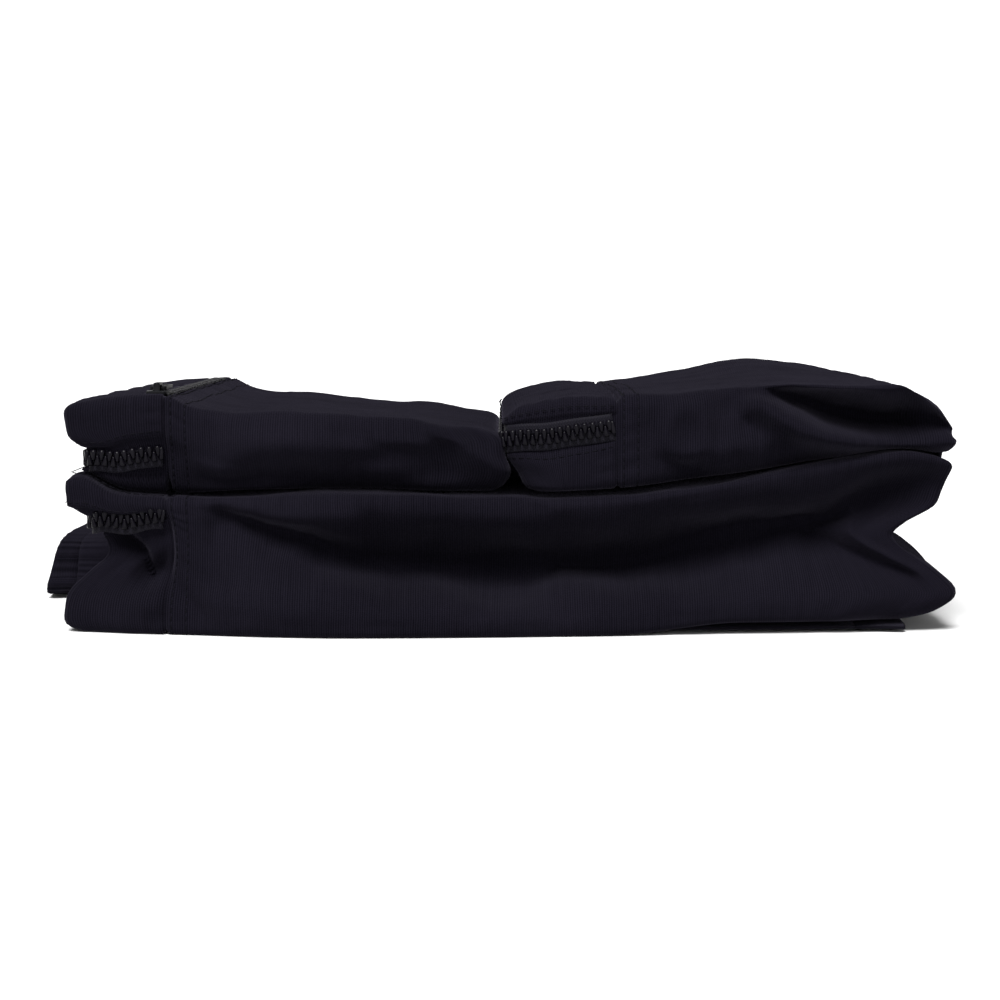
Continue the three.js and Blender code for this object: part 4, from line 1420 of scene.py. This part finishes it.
def dress_web(web, flat, node):
    """Gives a hinge web its material, bakes its transform into its mesh, and hides the CAD node that it
    stands for.
    """
    web.data.materials.append(material("twill"))
    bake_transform(web)
    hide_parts(node)


class BAG_OT_stage(bpy.types.Operator):
    """The table, the lights and the camera."""

    bl_idname = "changing_bag.stage"
    bl_label = "Studio"

    def execute(self, context):
        studio = context.scene.changing_bag_studio
        self.lay_table(studio)
        self.light(context, studio)
        self.place_camera(context, studio)
        context.scene.view_settings.view_transform = "Standard"
        return {"FINISHED"}

    def lay_table(self, studio):
        """A wide pale table top under the bag."""
        half = 4000
        corners = [(-half, -half, 0), (half, -half, 0), (half, half, 0), (-half, half, 0)]
        table = new_object("table", corners, [(0, 1, 2, 3)])
        shader = Shader("pale table")
        shade = shader.noise(shader.place(), 6.0)
        paler = [min(1, c * 1.03) for c in studio.floor]
        shader.set(Base_Color=shader.mix(shade, studio.floor, paler), Roughness=0.8)
        table.data.materials.append(shader.material)

    def light(self, context, studio):
        """An even sky that is bright low down, and three soft lights, given by where they shine, their
        width in degrees and their power."""
        world = bpy.data.worlds.new("studio")
        sky = Shader("studio", world)
        height = sky.split(sky.node("ShaderNodeTexCoord", {}, {}, 0))[2]
        overhead = ((height - 0.13) * 9.0).clamped(0.0, 1.0)
        sky.set(Color=sky.mix(overhead, (1.0, 1.0, 1.0), (0.16, 0.16, 0.16)), Strength=studio.sky)
        context.scene.world = world
        for name, towards, softness, power in (
            ("key", (0.2, 0.75, -1.0), 32, studio.key_power),
            ("fill", (-0.15, 1.0, -0.12), 60, studio.key_power * 0.13),
            ("rim", (-0.1, -1.0, -0.9), 25, studio.key_power * 0.06),
        ):
            light = bpy.data.lights.new(name, "SUN")
            light.angle = math.radians(softness)
            light.energy = power
            lamp = bpy.data.objects.new(name, light)
            lamp.location = -Vector(towards)
            lamp.rotation_euler = Vector(towards).to_track_quat("-Z", "Y").to_euler()
            context.scene.collection.objects.link(lamp)

    def place_camera(self, context, studio):
        """A camera before the front, a little above the bag and aimed at its middle."""
        camera = bpy.data.cameras.new("camera")
        stand = bpy.data.objects.new("camera", camera)
        aim = Vector((-0.0038, FRONT * MM, 0.0511))
        stand.location = (aim.x, aim.y - studio.distance, studio.height)
        camera.lens = camera.sensor_width * (stand.location - aim).length / studio.view_width
        stand.rotation_euler = (aim - stand.location).to_track_quat("-Z", "Y").to_euler()
        context.scene.collection.objects.link(stand)
        context.scene.camera = stand


OPERATORS = (
    BAG_OT_covers,
    BAG_OT_tapes,
    BAG_OT_teeth,
    BAG_OT_zip_fittings,
    BAG_OT_stitches,
    BAG_OT_sleeves,
    BAG_OT_hinge_webs,
    BAG_OT_stage,
)


class BAG_PT_sidebar(bpy.types.Panel):
    """The changing bag's pieces and settings."""

    bl_idname = "BAG_PT_sidebar"
    bl_label = "Changing bag"
    bl_space_type = "VIEW_3D"
    bl_region_type = "UI"
    bl_category = "Changing bag"

    def draw(self, context):
        scene = context.scene
        for group in (scene.changing_bag_cloth, scene.changing_bag_zips, scene.changing_bag_studio):
            box = self.layout.box()
            for name in group.bl_rna.properties.keys():
                if name not in ("rna_type", "name"):
                    box.prop(group, name)
        for operator in OPERATORS:
            self.layout.operator(operator.bl_idname)


SETTINGS = {
    "changing_bag_cloth": ChangingBagCloth,
    "changing_bag_zips": ChangingBagZips,
    "changing_bag_studio": ChangingBagStudio,
}


def register():
    for known in (*SETTINGS.values(), *OPERATORS, BAG_PT_sidebar):
        bpy.utils.register_class(known)
    for name, group in SETTINGS.items():
        setattr(bpy.types.Scene, name, bpy.props.PointerProperty(type=group))


def unregister():
    for name in SETTINGS:
        delattr(bpy.types.Scene, name)
    for known in (BAG_PT_sidebar, *reversed(OPERATORS), *SETTINGS.values()):
        bpy.utils.unregister_class(known)


def main():
    register()
    for operator in OPERATORS:
        group, name = operator.bl_idname.split(".")
        getattr(getattr(bpy.ops, group), name)()


if __name__ == "__main__":
    main()
